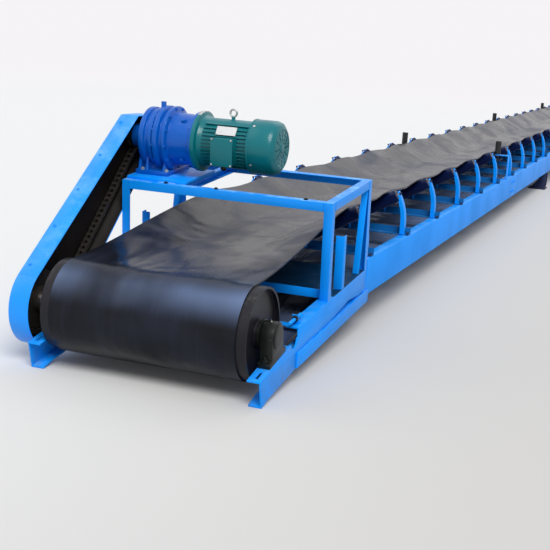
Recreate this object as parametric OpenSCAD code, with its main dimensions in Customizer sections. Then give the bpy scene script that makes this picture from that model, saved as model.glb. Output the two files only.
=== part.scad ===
// Low belt conveyor on a channel frame, with a flat head drum, a troughed carrying run
// and an open-sided chain drive. Millimetres, +Z up, X along the drum, Y along the run.

/* [Belt] */
// Belt width laid flat
belt_w = 1010; // [650:10:1400]
// Belt thickness
belt_t = 9; // [6:1:16]
// Angle of the wing rollers
trough_angle = 30; // [20:1:40]
// How far the belt sags between two idlers
belt_sag = 13; // [0:1:30]
// Height of the carrying belt's middle over the floor
carry_z = 595; // [560:5:680]
// Height of the return belt's lower face
return_z = 345; // [320:5:380]

/* [Head drum] */
// Drum diameter without the belt
drum_d = 470; // [380:5:520]
// Drum face length
drum_l = 1112; // [1060:2:1116]
// Height of the drum axis over the floor
drum_z = 319; // [300:1:360]
// Drum shell thickness
drum_wall = 12; // [8:1:20]
// Depth of the drum's end recess
drum_recess = 26; // [10:1:60]
// Drum shaft diameter
shaft_d = 80; // [60:2:90]

/* [Tail drum] */
// Tail drum diameter
tail_d = 320; // [240:5:400]
// Tail shaft diameter
tail_shaft_d = 56; // [40:2:70]
// Distance from the last idler to the tail drum
tail_gap = 1250; // [1000:10:1800]

/* [Frame] */
// Half width over the rails' outer faces
rail_half = 635; // [620:1:760]
// Flange width of the rails
rail_flange = 70; // [50:1:76]
// Web thickness of the rails
rail_web = 8; // [6:1:12]
// Flange thickness of the rails
rail_ft = 10; // [6:1:14]
// Height of the main rails' top over the floor
main_top = 455; // [440:1:500]
// Depth of the main rails
main_depth = 228; // [180:1:260]
// Slope of the head section to the floor
head_tilt = 4.6; // [3:0.1:6]
// Top of the head rails below the drum axis, square to their slope
head_drop = 46; // [30:1:70]
// Depth of the head rails
head_depth = 132; // [100:1:140]
// Where the head section meets the main section
joint_y = 1560; // [1500:5:1700]
// Length of the rails past the tail drum's axis
tail_over = 520; // [450:10:700]
// Depth of the lower bars
bar_depth = 80; // [60:1:90]

/* [Idlers] */
// Number of troughing idlers
idler_count = 21; // [12:1:26]
// Distance from one idler to the next
idler_pitch = 965; // [900:5:1200]
// First idler behind the drum axis
idler_first = 1650; // [1600:5:1750]
// Idler roller diameter
roller_d = 89; // [76:1:108]
// Flat middle part of the trough
trough_flat = 380; // [340:5:420]
// Wing roller length
wing_l = 350; // [300:5:380]
// Thickness of the idlers' side brackets
bracket_t = 8; // [6:1:12]

/* [Stand] */
// Stand front face behind the drum axis
stand_front = 785; // [720:5:860]
// Stand depth
stand_depth = 773; // [700:1:773]
// Stand top above the drum axis, square to the slope
stand_top = 508; // [460:1:560]
// Leg of the stand's angles
stand_leg = 50; // [40:1:60]
// Thickness of the stand's angles
stand_t = 5; // [4:1:8]

/* [Drive] */
// Distance of the gear motor's axis behind the drum axis, along the slope
motor_s = 1062; // [1000:1:1120]
// Height of the gear motor's axis over its base plate
motor_h = 202; // [200:1:230]
// Motor body diameter over the fins
motor_d = 300; // [260:2:320]
// Teeth of the drum sprocket
teeth_big = 29; // [25:1:30]
// Teeth of the gear motor's sprocket
teeth_small = 13; // [11:1:14]
// Chain pitch
chain_p = 38.1; // [31.75:6.35:38.1]
// Width of the chain
chain_w = 38; // [34:1:50]
// Depth of the chain guard
guard_depth = 113; // [105:1:140]
// Sheet thickness of the guard
guard_t = 4; // [3:1:6]

/* [Hidden] */
$fn = 48;
// clearances
gap = 0.3;
bore_gap = 0.095;
// head section and drum
drum_r = drum_d / 2;
belt_ri = drum_r + gap;
belt_ro = belt_ri + belt_t;
belt_half = belt_w / 2;
shaft_r = shaft_d / 2;
st = sin(head_tilt);
ct = cos(head_tilt);
// idlers
roller_r = roller_d / 2;
flat_half = trough_flat / 2;
wing = belt_half - flat_half;
belt_low = carry_z - belt_t;
last_y = idler_first + (idler_count - 1) * idler_pitch;
tail_y = last_y + tail_gap;
rail_end = tail_y + tail_over;
// tail drum
tail_r = tail_d / 2;
tail_shaft_r = tail_shaft_d / 2;
// the belt's wraps are drawn in flats that clear the drums
wrap_n = 22;
tail_n = 16;
head_rv = belt_ri / cos(95 / wrap_n);
tail_rv = (tail_r + gap) / cos(90 / tail_n);
tail_z = return_z + belt_t + tail_rv;
// rails
main_bottom = main_top - main_depth;
head_top = -head_drop;
head_low = head_top - head_depth;
rail_in = rail_half - rail_flange;
web_in = rail_half - rail_web;
nose_s = -198;
seat_tilt = 6.9;
seat_drop = 130;
notch_s = 305;
bar_top = head_low - 4;
bar_low = bar_top - bar_depth;
bar_s = 289;
// drive
plate_t = 16;
base_h = stand_top;
motor_z = base_h + plate_t + motor_h;
chain_c = sqrt(motor_s * motor_s + motor_z * motor_z);
chain_a = atan2(motor_z, motor_s);
big_r = chain_p / (2 * sin(180 / teeth_big));
small_r = chain_p / (2 * sin(180 / teeth_small));
chain_h = chain_p * 0.4;
roll_r = chain_p * 0.29;
chain_x = -rail_half - 80;
sprocket_w = 20;
guard_x = -rail_half - guard_depth;
// the part stands centred on its own box
bar_t = 8;
shift_x = (guard_depth - bar_t) / 2;
shift_y = -round((rail_end - belt_ro) * 5) / 10; // in tenths, as six written digits keep it

BLUE = [0.10, 0.45, 0.86];
DARK = [0.06, 0.06, 0.08];
STEEL = [0.6, 0.6, 0.62];

// Placing
module place() { translate([shift_x, shift_y, 0]) children(); }
// the head section's own frame: origin on the drum axis, Y up the slope
module head() { translate([0, 0, drum_z]) rotate([head_tilt, 0, 0]) children(); }
module both() { for (m = [0, 1]) mirror([m, 0, 0]) children(); }
// a flat outline given as [y, z], thick along X from x0 to x1
module side_plate(x0, x1) {
    translate([x0, 0, 0]) rotate([90, 0, 90]) linear_extrude(height = x1 - x0) children();
}
// a round bar along X
module bar_x(x0, x1, r) { translate([x0, 0, 0]) rotate([0, 90, 0]) cylinder(h = x1 - x0, r = r); }
module box(a, b) { translate(a) cube([b[0] - a[0], b[1] - a[1], b[2] - a[2]]); }
// a strip of even height that follows a list of [y, z] points
function strip(pts, t) = concat(pts, [for (i = [len(pts) - 1 : -1 : 0]) [pts[i][0], pts[i][1] + t]]);

// Frame
// the underside of the rails' ends stands on the floor at the nose
nose_h = -(drum_z + nose_s * st) / ct;
seat_n = [cos(seat_tilt), sin(seat_tilt)];
function seat(u) = [u * seat_n[0] + seat_drop * seat_n[1], u * seat_n[1] - seat_drop * seat_n[0]];
nose_top = [seat(-244), seat(168)];
joint_s = (joint_y + head_drop * st) / ct + 60;
wedge = [[bar_s + 12, head_low], [800, head_low], [1201, head_low + 28], [1440, head_low],
    [joint_s, head_low]];
nose_low = [[nose_s, nose_h], [nose_s + 87, nose_h + 16], [bar_s + 12, bar_low]];
module main_rails() color(BLUE) place() both() {
    box([web_in, joint_y, main_bottom], [rail_half, rail_end, main_top]);
    for (z = [main_bottom, main_top - rail_ft])
        box([rail_in, joint_y, z], [rail_half, rail_end, z + rail_ft]);
}
module head_rails() color(BLUE) place() both() intersection() {
    head() {
        side_plate(web_in, rail_half) difference() {
            polygon(concat([nose_top[0], nose_top[1], seat(258), [notch_s, head_top - 50],
                [notch_s, head_top], [joint_s, head_top]],
                [for (i = [len(wedge) - 1 : -1 : 0]) wedge[i]], [nose_low[2], nose_low[1], nose_low[0]]));
            translate([notch_s - 62, head_top - 48]) circle(r = 48);
        }
        // top flange with the slots for the drum's bearing bolts
        side_plate(rail_in, rail_half) polygon(strip([[notch_s, head_top - rail_ft],
            [joint_s, head_top - rail_ft]], rail_ft));
        difference() {
            side_plate(rail_in, rail_half) polygon(strip([seat(-244) + [0, -rail_ft],
                seat(168) + [0, -rail_ft]], rail_ft));
            rotate([seat_tilt, 0, 0]) box([rail_in + 30, -215, -seat_drop - 30],
                [rail_in + 44, -140, -seat_drop + 20]);
        }
        side_plate(rail_in, rail_half) polygon(strip(wedge, rail_ft));
        side_plate(rail_in, rail_half) polygon(strip(nose_low, rail_ft));
    }
    box([0, -600, 0], [rail_half + 1, joint_y, 900]);
}
module lower_bars() color(BLUE) place() both() head() {
    s1 = (joint_y + 30) / ct;
    box([rail_half, bar_s, bar_low], [rail_half + bar_t, s1, bar_top]);
    for (h = [bar_low, bar_top - 8])
        box([rail_half - 35, bar_s + 60, h], [rail_half, joint_y / ct - 130, h + 8]);
}
tie_y = [for (i = [1 : 4 : idler_count - 2]) idler_first + (i + 0.25) * idler_pitch];
module cross_ties() color(BLUE) place() {
    for (y = tie_y) {
        box([-web_in, y, main_bottom + rail_ft], [web_in, y + 50, main_bottom + rail_ft + 6]);
        box([-web_in, y, main_bottom + rail_ft + 6], [web_in, y + 6, main_bottom + rail_ft + 50]);
    }
    head() {
        // ties between the head rails, one under the stand and one near the floor
        box([-rail_half, stand_front + stand_leg + 1, head_top],
            [rail_half, stand_front + stand_leg + 7, head_top + 50]);
        box([-rail_half, stand_front + stand_leg + 7, head_top],
            [rail_half, stand_front + stand_leg + 50, head_top + 6]);
        box([-web_in, 640, head_low + rail_ft], [web_in, 690, head_low + rail_ft + 6]);
    }
}
foot_y = [tail_y - 11600, tail_y - 600];
foot_w = 200;
pad_t = 12;
hole_r = 9;
module frame_feet() color(DARK) place() both() for (y = foot_y) {
    difference() {
        translate([rail_half - 35, y, pad_t]) rotate([90, 0, 0]) translate([0, 0, -foot_w / 2])
            linear_extrude(height = foot_w)
            polygon([[-160, 0], [25, 0], [35, 60], [35, main_bottom - pad_t], [-45, main_bottom - pad_t],
                [-60, 120]]);
        // open between the front and rear plates
        box([rail_half - 230, y - foot_w / 2 + 8, pad_t + 8],
            [rail_half + 30, y + foot_w / 2 - 8, main_bottom - 8]);
    }
    difference() {
        box([rail_half - 215, y - 130, 0], [rail_half + bar_t, y + 130, pad_t]);
        for (i = [-1, 1], j = [-1, 1]) translate([rail_half - 100 + i * 90, y + j * 115, -1])
            cylinder(h = pad_t + 2, r = hole_r);
    }
}
module head_deck() color(BLUE) place() head()
    box([-rail_half + 1, stand_front + stand_leg + 51, head_top],
        [rail_half - 1, stand_front + stand_depth - stand_leg - 1, head_top + 4]);

// Drum bearings
module head_bearings() color(DARK) place() both() head() rotate([seat_tilt, 0, 0]) difference() {
    union() {
        box([rail_in + 2, -112, -seat_drop], [rail_half - 2, 112, -seat_drop + 26]);
        side_plate(rail_in + 2, rail_half - 2)
            polygon([[-80, -seat_drop + 20], [80, -seat_drop + 20], [74, 10], [-74, 10]]);
        bar_x(rail_in + 2, rail_half - 2, 74);
        bar_x(rail_half - 4, rail_half + 4, 58);
    }
    bar_x(rail_in - 10, rail_half + 30, shaft_r + bore_gap);
}

// Stand over the belt
stand_rear = stand_front + stand_depth;
module drive_stand() color(BLUE) place() head() {
    both() {
        for (e = [[stand_front, 1], [stand_rear, -1]])
            translate([rail_half, e[0], head_top]) mirror([1, 0, 0]) mirror([0, e[1] < 0 ? 1 : 0, 0]) {
                cube([stand_leg, stand_t, stand_top - head_top]);
                cube([stand_t, stand_leg, stand_top - head_top]);
            }
        // side beams
        box([rail_half - stand_t, stand_front, stand_top - stand_leg], [rail_half, stand_rear, stand_top]);
        box([rail_half - stand_leg, stand_front, stand_top - stand_t], [rail_half, stand_rear, stand_top]);
    }
    // front and rear beams
    box([-rail_half, stand_front, stand_top - stand_leg], [rail_half, stand_front + stand_t, stand_top]);
    box([-rail_half, stand_front, stand_top - stand_t], [rail_half, stand_front + stand_leg, stand_top]);
    box([-rail_half, stand_rear - stand_t, stand_top - stand_leg], [rail_half, stand_rear, stand_top]);
    box([-rail_half, stand_rear - stand_leg, stand_top - stand_t], [rail_half, stand_rear, stand_top]);
}
upright_s = 1040;
upright_h = 270;
module stand_braces() color(BLUE) place() head() both() {
    // slanted angle beside each rear post
    side_plate(rail_half - 45, rail_half - 40)
        polygon([[1400, head_top + 4], [1440, head_top + 4], [stand_rear - 15, stand_top - stand_leg],
        [stand_rear - 55, stand_top - stand_leg]]);
    side_plate(rail_half - 40, rail_half - 6)
        polygon([[1400, head_top + 4], [1405, head_top + 4], [stand_rear - 50, stand_top - stand_leg],
        [stand_rear - 55, stand_top - stand_leg]]);
    // short upright behind each front post
    box([rail_half - 50, upright_s, head_top + 4], [rail_half, upright_s + 5, upright_h]);
    box([rail_half - 5, upright_s, head_top + 4], [rail_half, upright_s + 45, upright_h]);
}

// Gear motor
module at_motor() { translate([0, motor_s, motor_z]) children(); }
base_beam = [-rail_half + 60, -300];
module reducer_base() color(BLUE) place() head() {
    for (x = base_beam) {
        box([x, stand_front + stand_t, base_h - 50], [x + 6, stand_rear - stand_t, base_h - stand_t]);
        box([x, stand_front + stand_t, base_h - 50], [x + 40, stand_rear - stand_t, base_h - 44]);
        box([x, stand_front + stand_leg, base_h - stand_t - 3], [x + 40, stand_rear - stand_leg, base_h]);
    }
    box([-rail_half + 5, stand_front + stand_leg + 1, base_h],
        [-rail_half + 380, motor_s + 180, base_h + plate_t]);
}
flange_x = [-590, -497];
module reducer() color(BLUE) place() head() at_motor() difference() {
    union() {
        rotate([0, 90, 0]) rotate_extrude()
            polygon([[0, -688], [66, -688], [72, -682], [75, -640], [112, -606],
            [150, -596], [172, -590], [172, -562], [158, -556], [158, -538], [172, -532], [172, -512],
                [156, -508],
            [156, -500], [186, -497], [186, -470], [164, -462], [164, -446], [186, -438], [186, -421],
                [152, -417],
            [146, -285], [168, -280], [168, -265], [0, -265]]);
        // foot with its sloping gussets
        translate([-rail_half + 20, -150, -motor_h]) cube([205, 300, 26]);
        for (x = [-605, -560, -450]) translate([x, 0, -motor_h + 20]) rotate([90, 0, 90])
            linear_extrude(height = 16)
            polygon([[-138, 0], [138, 0], [110, 120], [-110, 120]]);
        translate([-598, -90, -motor_h + 20]) cube([160, 180, 70]);
        // lifting lug
        translate([-523, -9, 150]) cube([26, 18, 58]);
    }
    bar_x(-720, -640, 27 + bore_gap);
}
module motor() color([0.05, 0.42, 0.40]) place() head() at_motor() {
    rotate([0, 90, 0]) rotate_extrude()
        polygon([[0, -265], [174, -265], [174, -242], [150, -236], [139, -205],
        [139, 66], [0, 66]]);
    // cooling fins
    intersection() {
        bar_x(-205, 62, motor_d / 2);
        union() for (i = [-6 : 6]) for (m = [-1, 1])
            translate([-205, m < 0 ? -motor_d / 2 : 0, i * 20 - 2]) cube([267, motor_d / 2, 4]);
    }
    // terminal box on the front side
    box([-113, -205, -90], [7, -130, 56]);
    box([-119, -213, -96], [13, -205, 62]);
    // lifting eye
    translate([-70, 0, 136]) cylinder(h = 24, r = 11);
    translate([-70, 0, 178]) rotate([90, 0, 0]) rotate_extrude() translate([20, 0]) circle(r = 6);
}
module motor_cowl() color([0.05, 0.42, 0.40]) place() head() at_motor() difference() {
    rotate([0, 90, 0]) rotate_extrude()
        polygon([[0, 66], [154, 66], [154, 192], [145, 216], [120, 232], [0, 232]]);
    for (i = [0 : 11]) rotate([i * 30, 0, 0]) box([222, -5, 40], [250, 5, 112]);
}
rr = 27;
module output_shaft() color(STEEL) place() head() at_motor() bar_x(chain_x - 20, -642, rr);

// Chain drive
module gear(n, r, hub, hub_l, bore) {
    tip = r - roll_r - 1.5;
    depth = chain_p * 0.3;
    difference() {
        union() {
            side_plate(-sprocket_w / 2, sprocket_w / 2)
                polygon([for (i = [0 : n - 1]) for (t = [[-0.25, -depth], [-0.09, 0], [0.09, 0],
                [0.25, -depth]])
                let (a = (i + t[0]) * 360 / n) [(tip + t[1]) * cos(a), (tip + t[1]) * sin(a)]]);
            bar_x(sprocket_w / 2 - 1, hub_l, hub);
        }
        bar_x(-60, 60, bore);
    }
}
module drum_sprocket() color(STEEL) place() head() translate([chain_x, 0, 0])
    gear(teeth_big, big_r, 66, 40, shaft_r);
module small_sprocket() color(STEEL) place() head() at_motor() translate([chain_x, 0, 0])
    gear(teeth_small, small_r, 42, 24, rr);
// the chain is one fixed loop of links laid on both pitch circles
wrap_b = asin((big_r - small_r) / chain_c);
span = chain_c * cos(wrap_b);
arc_s = small_r * (180 - 2 * wrap_b) * PI / 180;
arc_b = big_r * (180 + 2 * wrap_b) * PI / 180;
loop_l = 2 * span + arc_s + arc_b;
links = 2 * round(loop_l / chain_p / 2);
// the place and the outward angle at a length u along the loop
function loop_at(u) = u < span ?
    [big_r * sin(wrap_b) + u * cos(wrap_b), big_r * cos(wrap_b) - u * sin(wrap_b), 90 - wrap_b] :
    u < span + arc_s ?
    let (a = 90 - wrap_b - (u - span) / small_r * 180 / PI) [chain_c + small_r * cos(a), small_r * sin(a),
        a] :
    u < 2 * span + arc_s ?
    let (v = 2 * span + arc_s - u) [big_r * sin(wrap_b) + v * cos(wrap_b),
        -big_r * cos(wrap_b) + v * sin(wrap_b), wrap_b - 90] :
    let (a = wrap_b - 90 - (u - 2 * span - arc_s) / big_r * 180 / PI) [big_r * cos(a), big_r * sin(a), a];
pins = [for (i = [0 : links - 1]) loop_at(i * loop_l / links)];
// link plates: full height at the pins, drawn in between them
function plate_edge(h, waist) = [for (i = [0 : links - 1]) let (p = pins[i], q = pins[(i + 1) % links],
    m = [(p[0] + q[0]) / 2, (p[1] + q[1]) / 2],
        d = [q[0] - p[0], q[1] - p[1]] / norm([q[0] - p[0], q[1] - p[1]]))
    each [[p[0] + h * cos(p[2]), p[1] + h * sin(p[2])], [m[0] - waist * d[1], m[1] + waist * d[0]]]];
link_t = (chain_w - sprocket_w - 6) / 2;
module drive_chain() color([0.12, 0.11, 0.10]) place() head() translate([chain_x, 0, 0]) {
    for (x = [-chain_w / 2, chain_w / 2 - link_t]) side_plate(x, x + link_t) rotate(chain_a) difference() {
        polygon(plate_edge(chain_h, chain_h * 0.7));
        polygon(plate_edge(-chain_h, -chain_h * 0.7));
    }
    side_plate(-chain_w / 2 + link_t / 2, chain_w / 2 - link_t / 2) rotate(chain_a)
        for (p = pins) translate([p[0], p[1]]) rotate(p[2]) circle(r = roll_r, $fn = 6);
}
guard_r = 215;
guard_end = 145;
module guard_outline(t) {
    translate([-20, -12]) circle(r = guard_r - t);
    polygon([[-10, guard_r - 12 - t], [chain_c + 4 - t / 2, guard_end - t],
        [chain_c + 166 - t * 1.3, 14 - t],
        [chain_c + 32 - t, -guard_end - 7 + t], [-30, -guard_r - 12 + t]]);
}
module chain_guard() color(BLUE) place() head() {
    side_plate(guard_x, guard_x + guard_t) rotate(chain_a) guard_outline(0);
    side_plate(guard_x + guard_t - 1, -rail_half) rotate(chain_a) difference() {
        guard_outline(0);
        guard_outline(guard_t);
    }
}

// Rotors
module drive_drum() color([0.10, 0.10, 0.12]) place() translate([0, 0, drum_z]) difference() {
    bar_x(-drum_l / 2, drum_l / 2, drum_r);
    for (m = [0, 1]) mirror([m, 0, 0]) difference() {
        bar_x(drum_l / 2 - drum_recess, drum_l / 2 + 5, drum_r - drum_wall);
        bar_x(drum_l / 2 - drum_recess - 1, drum_l / 2 - 4, shaft_r + 30);
    }
    bar_x(-drum_l, drum_l, shaft_r);
}
module drive_shaft() color(STEEL) place() translate([0, 0, drum_z])
    bar_x(chain_x - 22, rail_half - 2, shaft_r);
module tail_drum() color([0.10, 0.10, 0.12]) place() translate([0, tail_y, tail_z]) difference() {
    bar_x(-drum_l / 2, drum_l / 2, tail_r);
    for (m = [0, 1]) mirror([m, 0, 0]) difference() {
        bar_x(drum_l / 2 - drum_recess, drum_l / 2 + 5, tail_r - drum_wall);
        bar_x(drum_l / 2 - drum_recess - 1, drum_l / 2 - 4, tail_shaft_r + 24);
    }
    bar_x(-drum_l, drum_l, tail_shaft_r);
}
module tail_shaft() color(STEEL) place() translate([0, tail_y, tail_z])
    bar_x(-rail_half + 4, rail_half - 4, tail_shaft_r);

// Belt
// half of the trough's lower line at a wing angle a: a short arc joins flat and wing
bend_r = 150;
function half_line(a) = a < 0.5 ?
    [for (x = [0, 60, 120, 190, 250, 320, 400]) [x * belt_half / 505, 0]] :
    let (b = bend_r * tan(a / 2), c = flat_half - b, arc = bend_r * a * PI / 180,
        rest = belt_half - c - arc)
    [for (i = [0 : 6]) i < 2 ? [c * i * 0.5, 0] : i < 6 ?
        [c + bend_r * sin(a * (i - 2) / 3), bend_r * (1 - cos(a * (i - 2) / 3))] :
        [c + bend_r * sin(a) + rest * 0.5 * cos(a), bend_r * (1 - cos(a)) + rest * 0.5 * sin(a)]];
function tip_of(a) = a < 0.5 ? [belt_half, 0] :
    let (b = bend_r * tan(a / 2), c = flat_half - b, arc = bend_r * a * PI / 180,
        rest = belt_half - c - arc)
    [c + bend_r * sin(a) + rest * cos(a), bend_r * (1 - cos(a)) + rest * sin(a)];
// one section of the belt: a place on its inner face, the way out from there and the wing angle
function section(y, z, out, a) = let (h = concat(half_line(a), [tip_of(a)]), n = len(h), c = cos(out),
    s = sin(out),
    low = concat([for (i = [n - 1 : -1 : 1]) [-h[i][0], h[i][1]]], h),
    up = [for (i = [2 * n - 2 : -1 : 0]) low[i]])
    concat([for (p = low) [p[0], y + c * p[1], z + s * p[1]]],
        [for (p = up) [p[0], y + c * (p[1] + belt_t), z + s * (p[1] + belt_t)]]);
// [y, z of the belt's lower face, way out, wing angle]
carry_mid = [for (i = [0 : idler_count - 1]) for (k = [0, 1]) if (k == 0 || i < idler_count - 1)
    [idler_first + (i + k / 2) * idler_pitch, belt_low - k * belt_sag, 90, trough_angle - k * 3]];
head_z = drum_z + head_rv;
tail_top = tail_z + tail_rv;
lead = [for (t = [0, 0.08, 0.25, 0.45, 0.65, 0.85])
    [t * idler_first, head_z + (belt_low - head_z) * t, 90, trough_angle * t]];
trail = [for (t = [0.85, 0.65, 0.45, 0.25, 0.08, 0])
    [tail_y - t * tail_gap, tail_top + (belt_low - tail_top) * t, 90, trough_angle * t]];
tail_wrap = [for (k = [1 : tail_n]) let (a = 90 - k * 180 / tail_n)
    [tail_y + tail_rv * cos(a), tail_z + tail_rv * sin(a), a, 0]];
// the return run meets the head drum on its tangent
ret_y = idler_first + 0.5 * idler_pitch - 25;
ret_d = sqrt(ret_y * ret_y + pow(return_z - drum_z, 2));
ret_a = atan2(return_z - drum_z, ret_y) + asin((head_rv + belt_t) / ret_d);
head_wrap = [for (k = [0 : wrap_n - 1]) let (a = ret_a - 90 - k * (180 + ret_a) / wrap_n)
    [head_rv * cos(a), drum_z + head_rv * sin(a), a, 0]];
rows = concat(lead, carry_mid, trail, tail_wrap, [[ret_y, return_z + belt_t, -90, 0]], head_wrap);
module belt() color([0.20, 0.20, 0.22]) place() {
    rings = [for (r = rows) section(r[0], r[1], r[2], r[3])];
    n = len(rings[0]);
    m = len(rings);
    polyhedron(points = [for (r = rings) each r], faces = [for (k = [0 : m - 1]) for (i = [0 : n - 1])
        let (j = (i + 1) % n, u = ((k + 1) % m) * n, v = k * n)
        each [[v + i, u + i, v + j], [v + j, u + i, u + j]]]);
}

// Idlers
stations = [for (i = [0 : idler_count - 1]) idler_first + i * idler_pitch];
module each_station() { for (y = stations) translate([0, y, 0]) children(); }
axle_r = 10;
mid_z = belt_low - gap - roller_r;
// wing roller's axis: under the belt's wing by its own radius
wing_s = 16;
wx = flat_half + wing_s * cos(trough_angle) + (roller_r + gap) * sin(trough_angle);
wz = belt_low + wing_s * sin(trough_angle) - (roller_r + gap) * cos(trough_angle);
module on_wing() { translate([wx, 0, wz]) rotate([0, -trough_angle, 0]) children(); }
end_gap = 10;
ear_x = flat_half + 8;
module idler_rollers() color([0.09, 0.11, 0.20]) place() each_station() {
    translate([0, 0, mid_z]) {
        bar_x(-flat_half + 6, flat_half - 6, roller_r);
        bar_x(-ear_x, ear_x, axle_r);
    }
    both() on_wing() {
        bar_x(0, wing_l, roller_r);
        bar_x(-17.5, wing_l + end_gap - 0.4, axle_r);
    }
}
base_t = 6;
base_leg = 63;
module idler_bases() color(BLUE) place() each_station() {
    box([-rail_half + 2, -7, main_top], [rail_half - 2, base_leg - 7, main_top + base_t]);
    box([-rail_half + 2, base_leg - 7 - base_t, main_top + base_t],
        [rail_half - 2, base_leg - 7, main_top + 50]);
}
// ears that carry the middle roller and the wing rollers' inner ends
module idler_brackets() color(BLUE) place() each_station() both()
    box([ear_x, -7, main_top + base_t], [ear_x + 8, 20, mid_z + 26]);
// curved side brackets: upright, then bent inwards by the wing angle
bend_c = 400;
tip_x = wx + (wing_l + end_gap + 4) * cos(trough_angle);
tip_z = wz + (wing_l + end_gap + 4) * sin(trough_angle);
foot_x = tip_x + bend_c * (1 - cos(trough_angle));
bend_z = tip_z - bend_c * sin(trough_angle);
function bracket_edge(r) = [for (i = [0 : 8]) [foot_x - bend_c + r * cos(trough_angle * i / 8),
    bend_z + r * sin(trough_angle * i / 8)]];
function bracket_tip(r) = [foot_x - bend_c + r * cos(trough_angle) - 22 * sin(trough_angle),
    bend_z + r * sin(trough_angle) + 22 * cos(trough_angle)];
bracket_in = concat(bracket_edge(bend_c - bracket_t / 2), [bracket_tip(bend_c - bracket_t / 2)]);
module wing_brackets() color(BLUE) place() each_station() both()
    translate([0, 43, 0]) rotate([90, 0, 0]) linear_extrude(height = 50)
        polygon(concat([[foot_x - bracket_t / 2, main_top + base_t],
            [foot_x + bracket_t / 2, main_top + base_t]],
            bracket_edge(bend_c + bracket_t / 2), [bracket_tip(bend_c + bracket_t / 2)],
            [for (i = [len(bracket_in) - 1 : -1 : 0]) bracket_in[i]]));
// return rollers stand between the rails on short brackets
ret_step = 3;
ret_rows = [for (i = [0 : ret_step : idler_count - 1]) idler_first + (i + 0.5) * idler_pitch];
ret_roll_z = return_z - gap - roller_r;
module return_rollers() color([0.09, 0.11, 0.20]) place() for (y = ret_rows) translate([0, y, ret_roll_z]) {
    bar_x(-belt_half - 30, belt_half + 30, roller_r);
    bar_x(-web_in + 8, web_in - 8, axle_r);
}
module return_brackets() color(BLUE) place() for (y = ret_rows) both()
    box([web_in - 8, y - 25, main_bottom + rail_ft], [web_in, y + 25, ret_roll_z + 25]);

// Guide rollers at the belt's edges
guide_r = 30;
guide_h = 130;
guide_x = flat_half + wing * cos(trough_angle) + guide_r + 12;
guide_z = carry_z + 120;
guide_y = [for (j = [0 : 2]) idler_first + (5.5 + 6 * j) * idler_pitch + 40];
pin_r = 8;
module guide_brackets() color(BLUE) place() for (y = guide_y) both() translate([0, y, 0]) {
    box([rail_half - 58, -30, main_top], [rail_half - 2, 30, main_top + 8]);
    box([rail_half - 16, -30, main_top + 8], [rail_half - 8, 30, guide_z - 10]);
    box([guide_x - 20, -30, guide_z - 18], [rail_half - 8, 30, guide_z - 10]);
    translate([guide_x, 0, guide_z - 12]) cylinder(h = guide_h + 4, r = pin_r);
}
module guide_roller(j, side) color(DARK) place() translate([side * guide_x, guide_y[j], guide_z])
    difference() {
    translate([0, 0, 0.5]) cylinder(h = guide_h, r = guide_r);
    translate([0, 0, -1]) cylinder(h = guide_h - 7, r = pin_r + bore_gap);
}

// Tail
block_h = 110;
module take_up_frames() color(BLUE) place() both() {
    // guide bars above and below the sliding blocks
    box([rail_in, tail_y - 320, main_top], [rail_half, tail_y + 380, main_top + 4]);
    box([rail_in, tail_y - 320, main_top + block_h + 12],
        [rail_half, tail_y + 380, main_top + block_h + 20]);
    for (y = [tail_y - 320, tail_y + 372])
        box([rail_in, y, main_top + 4], [rail_half, y + 8, main_top + block_h + 12]);
}
module tail_bearings() color(DARK) place() both() translate([0, tail_y, 0]) difference() {
    union() {
        box([rail_in + 8, -75, main_top + 4.3], [rail_half - 8, 75, main_top + block_h + 11.7]);
        translate([0, 0, tail_z]) bar_x(rail_half - 10, rail_half + 2, 48);
    }
    translate([0, 0, tail_z]) bar_x(rail_in, rail_half + 10, tail_shaft_r + bore_gap);
}
module take_up_screws() color(STEEL) place() both() translate([rail_half - 35, 0, main_top + 62])
    rotate([-90, 0, 0]) {
        translate([0, 0, tail_y + 75.3]) cylinder(h = 296, r = 12);
        translate([0, 0, tail_y + 380.3]) cylinder(h = 110, r = 12);
        translate([0, 0, tail_y + 380.3]) cylinder(h = 22, r = 22, $fn = 6);
    }
module tail_plate() color(BLUE) place()
    box([-web_in, rail_end - 50, main_bottom + rail_ft], [web_in, rail_end - 42, main_top - rail_ft]);

main_rails();
head_rails();
lower_bars();
cross_ties();
frame_feet();
head_deck();
head_bearings();
drive_stand();
stand_braces();
reducer_base();
reducer();
motor();
motor_cowl();
chain_guard();
drive_chain();
belt();
idler_bases();
idler_brackets();
wing_brackets();
idler_rollers();
return_rollers();
return_brackets();
guide_brackets();
take_up_frames();
take_up_screws();
tail_bearings();
tail_plate();
drive_drum();
drive_shaft();
drum_sprocket();
output_shaft();
small_sprocket();
tail_drum();
tail_shaft();
guide_roller(0, -1);  // guide_roller_1_left
guide_roller(0, 1);  // guide_roller_1_right
guide_roller(1, -1);  // guide_roller_2_left
guide_roller(1, 1);  // guide_roller_2_right
guide_roller(2, -1);  // guide_roller_3_left
guide_roller(2, 1);  // guide_roller_3_right
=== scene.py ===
"""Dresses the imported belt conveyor: paint, rubber, fasteners, welds, rollers and the studio around it."""
import math

import bmesh
import bpy
from mathutils import Matrix, Vector


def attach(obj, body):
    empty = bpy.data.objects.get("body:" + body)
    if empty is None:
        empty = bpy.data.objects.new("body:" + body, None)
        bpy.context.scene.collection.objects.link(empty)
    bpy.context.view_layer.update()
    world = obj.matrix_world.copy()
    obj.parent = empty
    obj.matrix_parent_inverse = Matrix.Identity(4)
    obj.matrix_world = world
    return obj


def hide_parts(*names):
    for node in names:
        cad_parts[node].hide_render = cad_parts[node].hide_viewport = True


bl_info = {
    "name": "Belt conveyor dressing",
    "version": (1, 0, 0),
    "blender": (4, 5, 0),
    "location": "View3D > Sidebar > Conveyor",
    "description": "Builds the visible pieces and finishes of a belt conveyor around its packed solids",
    "category": "Object",
}

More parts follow.
